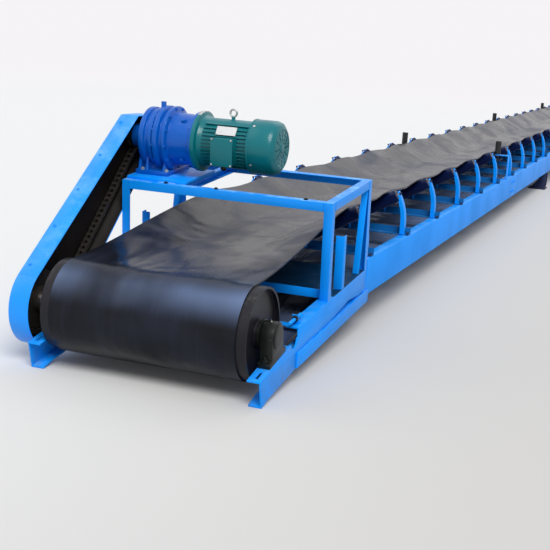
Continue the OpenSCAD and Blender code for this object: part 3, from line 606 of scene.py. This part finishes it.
class CONVEYOR_OT_stage(bpy.types.Operator):
    """Makes the pale floor, the soft light and the camera at the photograph's viewing angle"""
    bl_idname = "conveyor.stage"
    bl_label = "Studio and camera"

    def execute(self, context):
        scene = context.scene
        yaw, pitch, roll = CAMERA_YAW, CAMERA_PITCH, CAMERA_ROLL
        ahead = Vector((-math.sin(yaw) * math.cos(pitch), math.cos(yaw) * math.cos(pitch), -math.sin(pitch)))
        right = Vector((math.cos(yaw), math.sin(yaw), 0.0))
        down = ahead.cross(right)
        across = right * math.cos(roll) + down * math.sin(roll)
        below = down * math.cos(roll) - right * math.sin(roll)
        camera = bpy.data.objects.new("studio_camera", bpy.data.cameras.new("studio_camera"))
        camera.data.lens, camera.data.sensor_width = LENS_MM, SENSOR_MM
        camera.data.clip_end = 400.0
        turn = Matrix((across, -below, -ahead)).transposed().to_4x4()
        camera.matrix_world = Matrix.Translation(CAMERA_PLACE) @ turn
        scene.collection.objects.link(camera)
        scene.camera = camera

        floor = bpy.data.objects.new("studio_floor", bpy.data.meshes.new("studio_floor"))
        reach = 150.0
        floor.data.from_pydata([(-reach, -reach, -0.0006), (reach, -reach, -0.0006), (reach, reach, -0.0006),
                                (-reach, reach, -0.0006)], [], [(0, 1, 2, 3)])
        floor.data.materials.append(self.floor_finish())
        scene.collection.objects.link(floor)

        self.surroundings(scene)
        for name, direction, strength, soft in (("key", (0.5, -0.8, 1.0), 2.45, 30), ("fill", (-0.9, -0.3, 0.8), 0.45, 50),
                                                ("rim", (0.1, 0.9, 0.8), 0.35, 40)):
            lamp = bpy.data.objects.new(name + "_light", bpy.data.lights.new(name + "_light", "SUN"))
            lamp.data.energy, lamp.data.angle = strength, math.radians(soft)
            lamp.matrix_world = Vector(direction).to_track_quat("Z", "Y").to_matrix().to_4x4()
            scene.collection.objects.link(lamp)
        scene.view_settings.view_transform = "Standard"
        return {"FINISHED"}

    def floor_finish(self):
        kit = Finish("studio_floor")
        tone = look().floor_tone
        across = kit.node("ShaderNodeSeparateXYZ", {}, {"Vector": kit.place}, "X")
        # painted shadow: the floor darkens from pale to grey towards +X, a broad shade to the right of the conveyor
        shaded = kit.ramp(across, -2.0, 2.5)
        pale, grey = tone * 1.1, tone * 0.84
        kit.finish(kit.mix(shaded, (pale, pale, pale * 0.985, 1.0), (grey, grey * 0.97, grey * 0.93, 1.0)), 0.9)
        away = kit.node("ShaderNodeVectorMath", {"operation": "LENGTH"}, {0: kit.place}, "Value")
        sight = kit.node("ShaderNodeLightPath", {}, {}, "Is Camera Ray")
        glow = kit.node("ShaderNodeEmission", {}, {"Color": (0.92, 0.90, 0.92, 1.0), "Strength": 1.0}, "Emission")
        mask = kit.ramp(away, 9.0, 34.0) * sight
        made = kit.node("ShaderNodeMixShader", {}, {0: mask}, "Shader")
        mixer = made.socket.node
        kit.tree.links.new(kit.shader.outputs[0], mixer.inputs[1])
        kit.tree.links.new(glow.socket, mixer.inputs[2])
        kit.tree.links.new(made.socket, kit.tree.nodes["Material Output"].inputs["Surface"])
        return kit.material

    def surroundings(self, scene):
        world = bpy.data.worlds.new("studio_world")
        world.use_nodes = True
        scene.world = world
        tree = world.node_tree
        path = tree.nodes.new("ShaderNodeLightPath")
        seen = path.outputs["Is Camera Ray"]
        for ray in ("Is Glossy Ray", "Is Transmission Ray"):
            either = tree.nodes.new("ShaderNodeMath")
            either.operation = "MAXIMUM"
            tree.links.new(seen, either.inputs[0])
            tree.links.new(path.outputs[ray], either.inputs[1])
            seen = either.outputs[0]
        tone = tree.nodes.new("ShaderNodeMix")
        tone.data_type = "RGBA"
        tone.inputs[6].default_value = (0.40, 0.42, 0.45, 1.0)
        tone.inputs[7].default_value = (0.92, 0.90, 0.92, 1.0)
        tree.links.new(seen, tone.inputs[0])
        tree.links.new(tone.outputs[2], tree.nodes["Background"].inputs["Color"])


# steelwork
STEELWORK = {
    "main_rails": ("frame_blue", 1.2), "head_rails": ("frame_blue", 1.2), "lower_bars": ("frame_blue", 1.0),
    "cross_ties": ("frame_blue", 0.8), "head_deck": ("deck_painted_shade_blue", 0.6), "drive_stand": ("stand_blue", 1.2),
    "stand_braces": ("frame_blue", 1.0), "reducer_base": ("frame_blue", 1.0), "idler_bases": ("idler_painted_shade_blue", 0.8),
    "idler_brackets": ("frame_blue", 0.8), "wing_brackets": ("frame_blue", 1.2), "return_brackets": ("frame_blue", 0.8),
    "guide_brackets": ("frame_blue", 0.8), "take_up_frames": ("frame_blue", 0.6), "tail_plate": ("frame_blue", 1.0),
    "chain_guard": ("guard_blue", 0.8), "frame_feet": ("foot_dark", 1.0), "head_bearings": ("bearing_dark", 2.0),
    "tail_bearings": ("bearing_dark", 2.0), "reducer": ("reducer_blue", 1.4), "motor": ("motor_green", 0.8),
    "motor_cowl": ("motor_green", 1.4),
}
SLOTS = {"chain_guard": "frame_blue", "frame_feet": "foot_dark", "head_bearings": "bearing_dark",
         "tail_bearings": "bearing_dark", "reducer": "reducer_blue", "motor": "motor_green", "motor_cowl": "motor_green"}
BARE_NODES = {
    "drive_chain": "chain_steel", "drive_drum": "drum_dark", "tail_drum": "drum_dark", "drive_shaft": "steel",
    "tail_shaft": "steel", "output_shaft": "steel", "drum_sprocket": "chain_steel", "small_sprocket": "chain_steel",
    "take_up_screws": "zinc",
}


class CONVEYOR_OT_steelwork(bpy.types.Operator):
    """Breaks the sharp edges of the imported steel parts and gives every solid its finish"""
    bl_idname = "conveyor.steelwork"
    bl_label = "Steelwork and housings"

    def execute(self, context):
        for node, (finish, width) in STEELWORK.items():
            piece = keep(softened(node, finish, width), "frame", node, slot=SLOTS.get(node, "frame_blue"))
            if node == "motor":
                self.plate_lifting_eye(piece.data)
        bare = dict(BARE_NODES)
        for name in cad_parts:
            if name.startswith("guide_roller"):
                bare[name] = "guide_black"
        for node, finish in bare.items():
            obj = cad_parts[node]
            for holder in obj.material_slots:
                holder.link = "OBJECT"
                holder.material = FINISHES[finish]
        return {"FINISHED"}

    def plate_lifting_eye(self, mesh):
        """The lifting eye stands above the motor's fins and is bare zinc."""
        mesh.materials.append(FINISHES["zinc"])
        foot = on_head(0, MOTOR_S, MOTOR_Z + 153).z
        for face in mesh.polygons:
            if min(mesh.vertices[k].co.z for k in face.vertices) > foot and face.center.x < on_head(40, 0, 0).x:
                face.material_index = 1


# belt
def trough_half(angle):
    """Half of the belt's inner line, from the middle outwards, for a wing angle in degrees."""
    if angle < 0.5:
        return [(BELT_HALF * k / 14, 0.0) for k in range(15)]
    a, bend = math.radians(angle), 150.0
    lead = FLAT_HALF - bend * math.tan(a / 2)
    rest = BELT_HALF - lead - bend * a
    line = [(lead * k / 3, 0.0) for k in range(3)]
    line += [(lead + bend * math.sin(a * k / 6), bend * (1 - math.cos(a * k / 6))) for k in range(7)]
    foot = line[-1]
    return line + [(foot[0] + rest * math.cos(a) * k / 5, foot[1] + rest * math.sin(a) * k / 5) for k in range(1, 6)]


def belt_rows():
    """Every section of the closed belt: place on its inner face, the way out, wing angle and edge wave."""
    inner, low = DRUM_R + 0.45, CARRY_Z - BELT_T
    crest = DRUM_Z + inner
    rows = []
    for k in range(13):
        t = k / 14
        ease = t * t * (3 - 2 * t)
        rows.append((t * IDLER_FIRST, crest + (low - crest) * t, 90.0, TROUGH * (0.35 * t + 0.65 * ease), 0.0))
    steps = 6
    for k in range(steps * (IDLER_COUNT - 1) + 1):
        dip = (1 - math.cos(math.tau * k / steps)) / 2
        rows.append((IDLER_FIRST + k * IDLER_PITCH / steps, low - 0.8 * SAG * dip, 90.0, TROUGH - 1.8 * dip, dip))
    tail_in = TAIL_R + 0.9
    for k in range(12, -1, -1):
        t = k / 13
        top = TAIL_Z + tail_in
        rows.append((TAIL_Y - t * 1250.0, top + (low - top) * t, 90.0, TROUGH * t, 0.0))
    for k in range(1, 25):
        a = math.radians(90 - k * 7.5)
        rows.append((TAIL_Y + tail_in * math.cos(a), TAIL_Z + tail_in * math.sin(a), 90 - k * 7.5, 0.0, 0.0))
    meet = IDLER_FIRST + 0.5 * IDLER_PITCH - 25
    rows += [(y, RETURN_Z + BELT_T + 0.1, -90.0, 0.0, 0.0) for y in (TAIL_Y - 800, 12000.0, meet)]
    rise = math.atan2(RETURN_Z + BELT_T - DRUM_Z, meet) + math.asin(inner / math.hypot(meet, RETURN_Z + BELT_T - DRUM_Z))
    leave = math.degrees(rise) - 90
    turns = 44
    for k in range(turns):
        a = leave - k * (leave + 270) / turns
        rows.append((inner * math.cos(math.radians(a)), DRUM_Z + inner * math.sin(math.radians(a)), a, 0.0, 0.0))
    return rows


class CONVEYOR_OT_belt(bpy.types.Operator):
    """Lofts the closed belt: flat on the drums, troughed and sagging between the idlers, with wavy edges"""
    bl_idname = "conveyor.belt"
    bl_label = "Belt"

    def execute(self, context):
        bm = bmesh.new()
        rings = []
        wave = look().edge_wave * 1000
        for y, z, out, angle, dip in belt_rows():
            c, s = math.cos(math.radians(out)), math.sin(math.radians(out))
            ring = []
            for side in (-1, 1):
                half = trough_half(angle)
                phase = y * 0.0103 + side * 1.7
                wander = wave * dip * (0.6 * math.sin(phase) + 0.4 * math.sin(2.3 * phase + 1))
                rise = wave * dip * (0.7 * math.sin(phase * 1.6 + 2))
                line = []
                for k, (x, h) in enumerate(half):
                    share = max(0.0, (k - 9) / (len(half) - 10)) if angle > 0.5 else 0.0
                    line.append((x + wander * share - 0.6 * (k == len(half) - 1), h + rise * share))
                tilt = math.radians(angle)
                x, h = line[-1]
                rim = [(x + 0.6 * math.cos(tilt) - b * math.sin(tilt), h + b * math.cos(tilt)) for b in (2.5, BELT_T - 2.5)]
                crown = [(x, h + BELT_T) for x, h in reversed(line)]
                contour = line + rim + crown
                ring.append([(side * x, h) for x, h in contour])
            left, right = ring
            outline = right + list(reversed(left))[1:-1]
            rings.append([bm.verts.new(at(x, y + c * h, z + s * h)) for x, h in outline])
        count = len(rings[0])
        for a, b in zip(rings, rings[1:] + rings[:1]):
            for k in range(count):
                j = (k + 1) % count
                bm.faces.new((a[k], a[j], b[j], b[k]))
        bmesh.ops.remove_doubles(bm, verts=bm.verts, dist=1e-5)
        bmesh.ops.recalc_face_normals(bm, faces=bm.faces)
        keep(from_bmesh("belt_loop", bm, ["belt_rubber"], 60.0), "frame", "belt", slot="belt_rubber")
        return {"FINISHED"}


# rollers
def wing_line():
    """Origin of a right-hand wing roller's axis and its direction, in the station's frame."""
    a, low = math.radians(TROUGH), CARRY_Z - BELT_T
    reach = 16.0
    off = ROLLER_R + 0.3
    return (FLAT_HALF + reach * math.cos(a) + off * math.sin(a), low + reach * math.sin(a) - off * math.cos(a)), \
        (math.cos(a), math.sin(a))


def wing_place(side, y, along):
    (x, z), (c, s) = wing_line()
    return at(side * (x + along * c), y, z + along * s)


class CONVEYOR_OT_rollers(bpy.types.Operator):
    """Sets the carrying and return rollers on their stations, with seals and axle ends"""
    bl_idname = "conveyor.rollers"
    bl_label = "Idler rollers"

    def execute(self, context):
        finishes = {"Shell Finish": FINISHES["roller_navy"], "Seal Finish": FINISHES["seal_grey"],
                    "Axle Finish": FINISHES["steel"], "Roller Radius": ROLLER_R / 1000, "Cap Radius": 0.030}
        keys = ["roller_navy", "seal_grey", "steel"]
        sizes = dict(finishes, **{"Roller Length": 0.368, "Axle Length": 0.396, "Axle Radius": 0.010})
        middle = grown("idler_rollers_middle", TREES["roller"], [at(0, y, 541.2) for y in STATIONS], [], sizes, keys,
                       [(1, 0, 0)] * IDLER_COUNT)
        keep(middle, "frame", "idler_rollers", slot="roller_navy")
        sizes.update({"Roller Length": WING_L / 1000, "Axle Length": 0.384})
        (_, _), (c, s) = wing_line()
        places = [wing_place(side, y, WING_L / 2) for y in STATIONS for side in (-1, 1)]
        axes = [(side * c, 0, s) for _ in STATIONS for side in (-1, 1)]
        wings = grown("idler_rollers_wing", TREES["roller"], places, [], sizes, keys, axes)
        keep(wings, "frame", "idler_rollers", slot="roller_navy")
        sizes.update({"Roller Length": 1.07, "Axle Length": 1.238})
        back = grown("return_rollers_row", TREES["roller"], [at(0, y, 300.2) for y in RETURN_ROWS], [], sizes, keys,
                     [(1, 0, 0)] * len(RETURN_ROWS))
        keep(back, "frame", "return_rollers", slot="roller_navy")
        return {"FINISHED"}


# fasteners
def circle_places(x, radius, count, start=0.0, place=None):
    """Places around the gear motor's axis at a distance x along it."""
    turns = [start + math.tau * k / count for k in range(count)]
    return [on_head(x, MOTOR_S + radius * math.cos(a), MOTOR_Z + radius * math.sin(a)) for a in turns]


class CONVEYOR_OT_fasteners(bpy.types.Operator):
    """Adds bolts, nuts and washers on the idler feet, bearings, stand, reducer, motor, guard and take-up"""
    bl_idname = "conveyor.fasteners"
    bl_label = "Fasteners"

    def execute(self, context):
        up, sides = (0, 0, 1), (-1, 1)
        feet = [at(m * 617, y + off, MAIN_TOP + 6) for y in STATIONS for m in sides for off in (9, 35)]
        fasteners("idler_foot_bolts", feet, [up] * len(feet), 17, "foot_dark", washer=13)
        _, (c, s) = wing_line()
        ends = [wing_place(m, y, 368.2) for y in STATIONS for m in sides]
        fasteners("wing_axle_nuts", ends, [(m * c, 0, s) for _ in STATIONS for m in sides], 17, "foot_dark", washer=11, stud=6)
        seats = [on_head(m * 600, a, -SEAT_DROP + 26, SEAT_TILT) for m in sides for a in (-96, 96)]
        fasteners("bearing_bolts", seats, [head_dir(0, 0, 1, SEAT_TILT)] * 4, 30, "bearing_dark", stud=14)
        beam = [on_head(x, STAND_FRONT + 30, STAND_TOP) for x in (-372, -62, 470)]
        fasteners("stand_beam_bolts", beam, [head_dir(0, 0, 1)] * 3, 18, "bearing_dark", head=6, stud=2)
        base = [on_head(x, MOTOR_S + a, MOTOR_Z - 176) for x in (-574, -422) for a in (-138, 138)]
        fasteners("reducer_foot_bolts", base, [head_dir(0, 0, 1)] * 4, 22, washer=12)
        flange = circle_places(-512, 165, 12, 0.13) + circle_places(-421, 175, 12, 0.13)
        nuts = circle_places(-497, 175, 12, 0.13) + circle_places(-280, 157, 8, 0.2)
        axes = [(1, 0, 0)] * 24 + [(-1, 0, 0)] * 20
        fasteners("reducer_flange_bolts", flange + nuts, axes, 15, "reducer_blue", washer=9, slot="reducer_blue")
        cover = [on_head(x, MOTOR_S - 213, MOTOR_Z + h) for x in (-111, 5) for h in (-88, 54)]
        fasteners("terminal_cover_screws", cover, [head_dir(0, -1, 0)] * 4, 9, washer=6)
        turns = [0.6 + k * math.pi / 2 for k in range(4)]
        screws = [on_head(92, MOTOR_S + 154 * math.cos(a), MOTOR_Z + 154 * math.sin(a)) for a in turns]
        fasteners("cowl_screws", screws, [head_dir(0, math.cos(a), math.sin(a)) for a in turns], 10, washer=8)
        rim = [on_chain(GUARD_X + 30, a, 203 - 58 * (a + 10) / 1300) for a in (60, 350, 640, 930, 1220)]
        out = on_chain(0, -math.sin(math.radians(2.55)), math.cos(math.radians(2.55))) - on_chain(0, 0, 0)
        fasteners("guard_bolts", rim, [out] * len(rim), 14, "guard_blue", washer=11)
        plugs = [on_head(-340, MOTOR_S + 150 * math.cos(a), MOTOR_Z + 150 * math.sin(a)) for a in (2.2, 3.9)]
        fasteners("oil_plugs", plugs, [head_dir(0, math.cos(a), math.sin(a)) for a in (2.2, 3.9)], 24, "reducer_blue", stud=0.5, slot="reducer_blue")
        arms = [at(m * GUIDE_X, y, GUIDE_Z - 18) for y in GUIDE_Y for m in sides]
        pads = [at(m * 595, y + a, MAIN_TOP + 8) for y in GUIDE_Y for m in sides for a in (-18, 18)]
        fasteners("guide_bracket_nuts", arms + pads, [(0, 0, -1)] * len(arms) + [up] * len(pads), 15, washer=10)
        tail = [at(m * 600, TAIL_Y + a, MAIN_TOP + 130) for m in sides for a in (-290, -150, 200, 350)]
        fasteners("take_up_bolts", tail, [up] * len(tail), 18)
        splice = [at(m * RAIL_HALF, y + a, z) for m in sides for y in (7440, 13230, 19020) for a in (-90, -40, 40, 90)
                  for z in (290, 392)]
        fasteners("rail_splice_bolts", splice, [(-1 if p.x < SHIFT_X / 1000 else 1, 0, 0) for p in splice], 20,
                  "frame_blue", head=4.5, stud=0.5, slot="frame_blue")
        return {"FINISHED"}


# drive details
def guard_edge(inset, steps=30):
    """The guard's outline drawn in by an inset, as places along and aside from the chain's line."""
    r = 215 - inset
    start, end = math.radians(92), math.radians(268)
    line = [(-20 + r * math.cos(start + (end - start) * k / steps), -12 + r * math.sin(start + (end - start) * k / steps))
            for k in range(steps + 1)]
    line += [(CHAIN_C + 32 - inset, -152 + inset), (CHAIN_C + 166 - inset * 1.3, 14 - inset),
             (CHAIN_C + 4 - inset / 2, 145 - inset)]
    return line


class CONVEYOR_OT_guard_shade_sheet(bpy.types.Operator):
    """Lines the chain guard with a near-black sheet that paints the shade inside it, and a rolled edge on the open side
    """
    bl_idname = "conveyor.guard_lining"
    bl_label = "Guard shade sheet"

    def execute(self, context):
        # a near-black sheet of painted shade over the guard's blue inner faces
        bm = bmesh.new()
        edge = guard_edge(4.6)
        floor = [bm.verts.new(on_chain(GUARD_X + 4.6, a, b)) for a, b in edge]
        bm.faces.new(list(reversed(floor)))
        mouth = [bm.verts.new(on_chain(-RAIL_HALF - 3, a, b)) for a, b in edge]
        for k in range(len(edge)):
            j = (k + 1) % len(edge)
            bm.faces.new((floor[k], floor[j], mouth[j], mouth[k]))
        bmesh.ops.recalc_face_normals(bm, faces=bm.faces)
        shade_sheet = from_bmesh("guard_shade_sheet", bm, ["guard_painted_shade_black"], 30.0)
        sheet = shade_sheet.modifiers.new("sheet", "SOLIDIFY")
        sheet.thickness = 0.0012
        sheet.offset = 0.0
        keep(settle(shade_sheet), "frame", slot="frame_blue")
        lip = guard_edge(2.0)
        turns = lip + lip[:1]
        beads("guard_lip", [[on_chain(-RAIL_HALF - 1.5, a, b) for a, b in turns]], 2.6, "guard_blue", "frame_blue")
        return {"FINISHED"}


class CONVEYOR_OT_motor_details(bpy.types.Operator):
    """Adds the blank plate, the cable gland, the grille ring and the bearing covers"""
    bl_idname = "conveyor.motor_details"
    bl_label = "Motor and bearing details"

    def execute(self, context):
        bm = bmesh.new()
        rise = math.radians(143)
        c, n = math.cos(rise), math.sin(rise)

        def on_skin(x, up, out):
            return on_head(x, MOTOR_S + (151 + out) * c - up * n, MOTOR_Z + (151 + out) * n + up * c)

        block(bm, (-122, -27, -4), (-2, 27, 1.2), on_skin)
        bmesh.ops.recalc_face_normals(bm, faces=bm.faces)
        plate = from_bmesh("motor_blank_plate", bm, ["plate_bare"])
        keep(plate, "frame", slot="motor_green")
        rivets = [on_skin(x, up, 1.2) for x in (-116, -8) for up in (-21, 21)]
        fasteners("motor_plate_rivets", rivets, [head_dir(0, c, n)] * 4, 5, washer=3.2, stud=0.1)

        bm = bmesh.new()
        box_foot = on_head(-53, MOTOR_S - 168, MOTOR_Z - 90)
        lathe(bm, [(-1, 0), (-1, 19), (6, 19), (7, 15), (12, 15), (12, 18), (26, 18), (28, 16), (34, 13), (36, 9), (36, 0)],
              box_foot, head_dir(0, 0, -1), 24)
        bmesh.ops.recalc_face_normals(bm, faces=bm.faces)
        keep(from_bmesh("cable_gland", bm, ["bearing_dark"]), "frame", slot="motor_green")

        bm = bmesh.new()
        centre = on_head(0, MOTOR_S, MOTOR_Z)
        for r in (34, 58, 82, 106):
            lathe(bm, [(226, r), (233.5, r), (233.5, r + 5), (226, r + 5), (226, r)], centre, (1, 0, 0), 40)
        lathe(bm, [(220, 0), (220, 26), (234, 26), (236, 22), (236, 0)], centre, (1, 0, 0), 32)
        lathe(bm, [(66.5, 152), (66.5, 156.2), (74, 156.2), (76, 154.2), (76, 152)], centre, (1, 0, 0), 64)
        bmesh.ops.recalc_face_normals(bm, faces=bm.faces)
        keep(from_bmesh("cowl_grille", bm, ["motor_green"]), "frame", slot="motor_green")

        bm = bmesh.new()
        for m in (-1, 1):
            profile = [(628, 64), (637, 64), (639.5, 60), (641.5, 50), (642.4, 36), (642.4, 0)]
            lathe(bm, profile if m > 0 else [(552, 78), (560, 78), (563, 70), (563, 41)], on_head(0, 0, 0), (m, 0, 0), 40)
        lathe(bm, [(552, 78), (560, 78), (563, 70), (563, 41)], on_head(0, 0, 0), (1, 0, 0), 40)
        bmesh.ops.recalc_face_normals(bm, faces=bm.faces)
        keep(from_bmesh("bearing_covers", bm, ["bearing_dark"]), "frame", slot="bearing_dark")
        bm = bmesh.new()
        for m in (-1, 1):
            foot, rod = HEAD_TOP + 0.5, HEAD_TOP + 30
            block(bm, (m * 582, 348, foot), (m * 618, 356, foot + 50), on_head)
            block(bm, (m * 582, 356, foot), (m * 618, 396, foot + 7), on_head)
            ribs = [(k * 3.0, 8.4 if k % 2 else 9.6) for k in range(1, 62)]
            lathe(bm, [(0, 0), (0, 7)] + ribs + [(186, 7), (186, 0)], on_head(m * 600, 250, rod), head_dir(0, 1, 0), 16)
        bmesh.ops.recalc_face_normals(bm, faces=bm.faces)
        keep(from_bmesh("adjusting_screws", bm, ["frame_blue"]), "frame", slot="frame_blue")
        nuts = [on_head(m * 600, s, HEAD_TOP + 30) for m in (-1, 1) for s in (347, 358)]
        fasteners("adjusting_nuts", nuts, [head_dir(0, -1, 0), head_dir(0, 1, 0)] * 2, 30, "bearing_dark", washer=17, stud=0.5)
        nipples = [on_head(m * 600, 0, 72, SEAT_TILT) for m in (-1, 1)] + [at(m * 600, TAIL_Y - 76, TAIL_Z) for m in (-1, 1)]
        axes = [head_dir(0, 0, 1, SEAT_TILT)] * 2 + [(0, -1, 0)] * 2
        fasteners("grease_nipples", nipples, axes, 9, washer=6, stud=8)
        return {"FINISHED"}


class CONVEYOR_OT_bracket_flanges(bpy.types.Operator):
    """Adds the front flange that follows every curved side bracket of the idlers"""
    bl_idname = "conveyor.bracket_flanges"
    bl_label = "Side bracket flanges"

    def execute(self, context):
        (x0, z0), (c, s) = wing_line()
        bend, reach = 400.0, WING_L + 14
        tip = (x0 + reach * c, z0 + reach * s)
        centre = (tip[0] - bend * c, tip[1] - bend * s)
        turns = [math.radians(TROUGH * k / 8) for k in range(9)]
        outer = [(centre[0] + bend + 4, MAIN_TOP + 6)] + [
            (centre[0] + (bend + 4) * math.cos(a), centre[1] + (bend + 4) * math.sin(a)) for a in turns]
        inner = [(centre[0] + bend - 26, MAIN_TOP + 6)] + [
            (centre[0] + (bend - 26 + 12 * a) * math.cos(a), centre[1] + (bend - 26 + 12 * a) * math.sin(a)) for a in turns]
        bm = bmesh.new()
        for y in STATIONS:
            for m in (-1, 1):
                rows = [[bm.verts.new(at(m * x, y + d, z)) for x, z in line]
                        for line, d in ((outer, -14), (inner, -14), (inner, -7), (outer, -7))]
                for a, b in zip(rows, rows[1:] + rows[:1]):
                    for k in range(len(a) - 1):
                        bm.faces.new((a[k], a[k + 1], b[k + 1], b[k]))
                for k in (0, -1):
                    bm.faces.new([row[k] for row in rows])
        bmesh.ops.recalc_face_normals(bm, faces=bm.faces)
        flange = from_bmesh("bracket_flanges", bm, ["frame_blue"])
        edge = flange.modifiers.new("broken edges", "BEVEL")
        edge.width, edge.segments, edge.use_clamp_overlap = 0.001, 2, False
        settle(flange)
        keep(flange, "frame", slot="frame_blue")
        return {"FINISHED"}


# welds
class CONVEYOR_OT_welds(bpy.types.Operator):
    """Lays weld beads where the frame's members meet"""
    bl_idname = "conveyor.welds"
    bl_label = "Weld beads"

    def execute(self, context):
        lines, sides = [], (-1, 1)
        for m in sides:
            for s, turn in ((STAND_FRONT, 1), (STAND_REAR, -1)):
                lines.append([on_head(m * 585, s, HEAD_TOP), on_head(m * RAIL_HALF, s, HEAD_TOP)])
                lines.append([on_head(m * (RAIL_HALF - 5), s + turn * 5, HEAD_TOP), on_head(m * (RAIL_HALF - 5), s + turn * 50, HEAD_TOP)])
                lines.append([on_head(m * 585, s, STAND_TOP - 48), on_head(m * 585, s, STAND_TOP - 3)])
                lines.append([on_head(m * 634, s + turn * 50, STAND_TOP - 48), on_head(m * 634, s + turn * 50, STAND_TOP - 3)])
            for s in range(300, 1500, 170):
                lines.append([on_head(m * RAIL_HALF, s, HEAD_LOW - 4), on_head(m * RAIL_HALF, s + 70, HEAD_LOW - 4)])
            lines.append([on_head(m * 585, 1040, HEAD_TOP + 1), on_head(m * 634, 1040, HEAD_TOP + 1)])
            lines.append([on_head(m * 637, 291, HEAD_LOW - 84), on_head(m * 637, 291, HEAD_LOW - 6)])
            lines.append([at(m * 634, JOINT_Y + 1, MAIN_BOTTOM + 60), at(m * 634, JOINT_Y + 1, MAIN_TOP - 4)])
            for y in STATIONS:
                lines.append([at(m * 600, y - 5, MAIN_TOP + 6), at(m * 600, y + 48, MAIN_TOP + 6)])
        beads("frame_welds", lines, look().bead * 1000)
        rings = []
        for m in sides:
            turns = [math.tau * k / 60 for k in range(60)]
            x = m * (DRUM_HALF - 24)
            rings.append([at(x, 222 * math.cos(a), DRUM_Z + 222 * math.sin(a)) for a in turns + turns[:1]])
            rings.append([at(x, 71 * math.cos(a), DRUM_Z + 71 * math.sin(a)) for a in turns + turns[:1]])
        made = beads("drum_welds", rings, 3.5, "drum_dark", "drum_dark")
        keep(made, "drive_drum")
        return {"FINISHED"}


# panel and run
OPERATORS = (CONVEYOR_OT_stage, CONVEYOR_OT_steelwork, CONVEYOR_OT_belt, CONVEYOR_OT_rollers,
             CONVEYOR_OT_bracket_flanges, CONVEYOR_OT_fasteners, CONVEYOR_OT_guard_shade_sheet, CONVEYOR_OT_motor_details,
             CONVEYOR_OT_welds)


class CONVEYOR_PT_panel(bpy.types.Panel):
    bl_label = "Conveyor"
    bl_idname = "CONVEYOR_PT_panel"
    bl_space_type = "VIEW_3D"
    bl_region_type = "UI"
    bl_category = "Conveyor"

    def draw(self, context):
        settings = context.scene.conveyor_look
        for name in settings.__annotations__:
            self.layout.prop(settings, name)
        for operator in OPERATORS:
            self.layout.operator(operator.bl_idname)


def register():
    for item in (ConveyorLook, *OPERATORS, CONVEYOR_PT_panel):
        bpy.utils.register_class(item)
    bpy.types.Scene.conveyor_look = bpy.props.PointerProperty(type=ConveyorLook)


def unregister():
    del bpy.types.Scene.conveyor_look
    for item in reversed((ConveyorLook, *OPERATORS, CONVEYOR_PT_panel)):
        bpy.utils.unregister_class(item)


def main():
    register()
    make_finishes(look())
    make_trees()
    for operator in OPERATORS:
        group, name = operator.bl_idname.split(".")
        getattr(getattr(bpy.ops, group), name)()


if __name__ == "__main__":
    main()
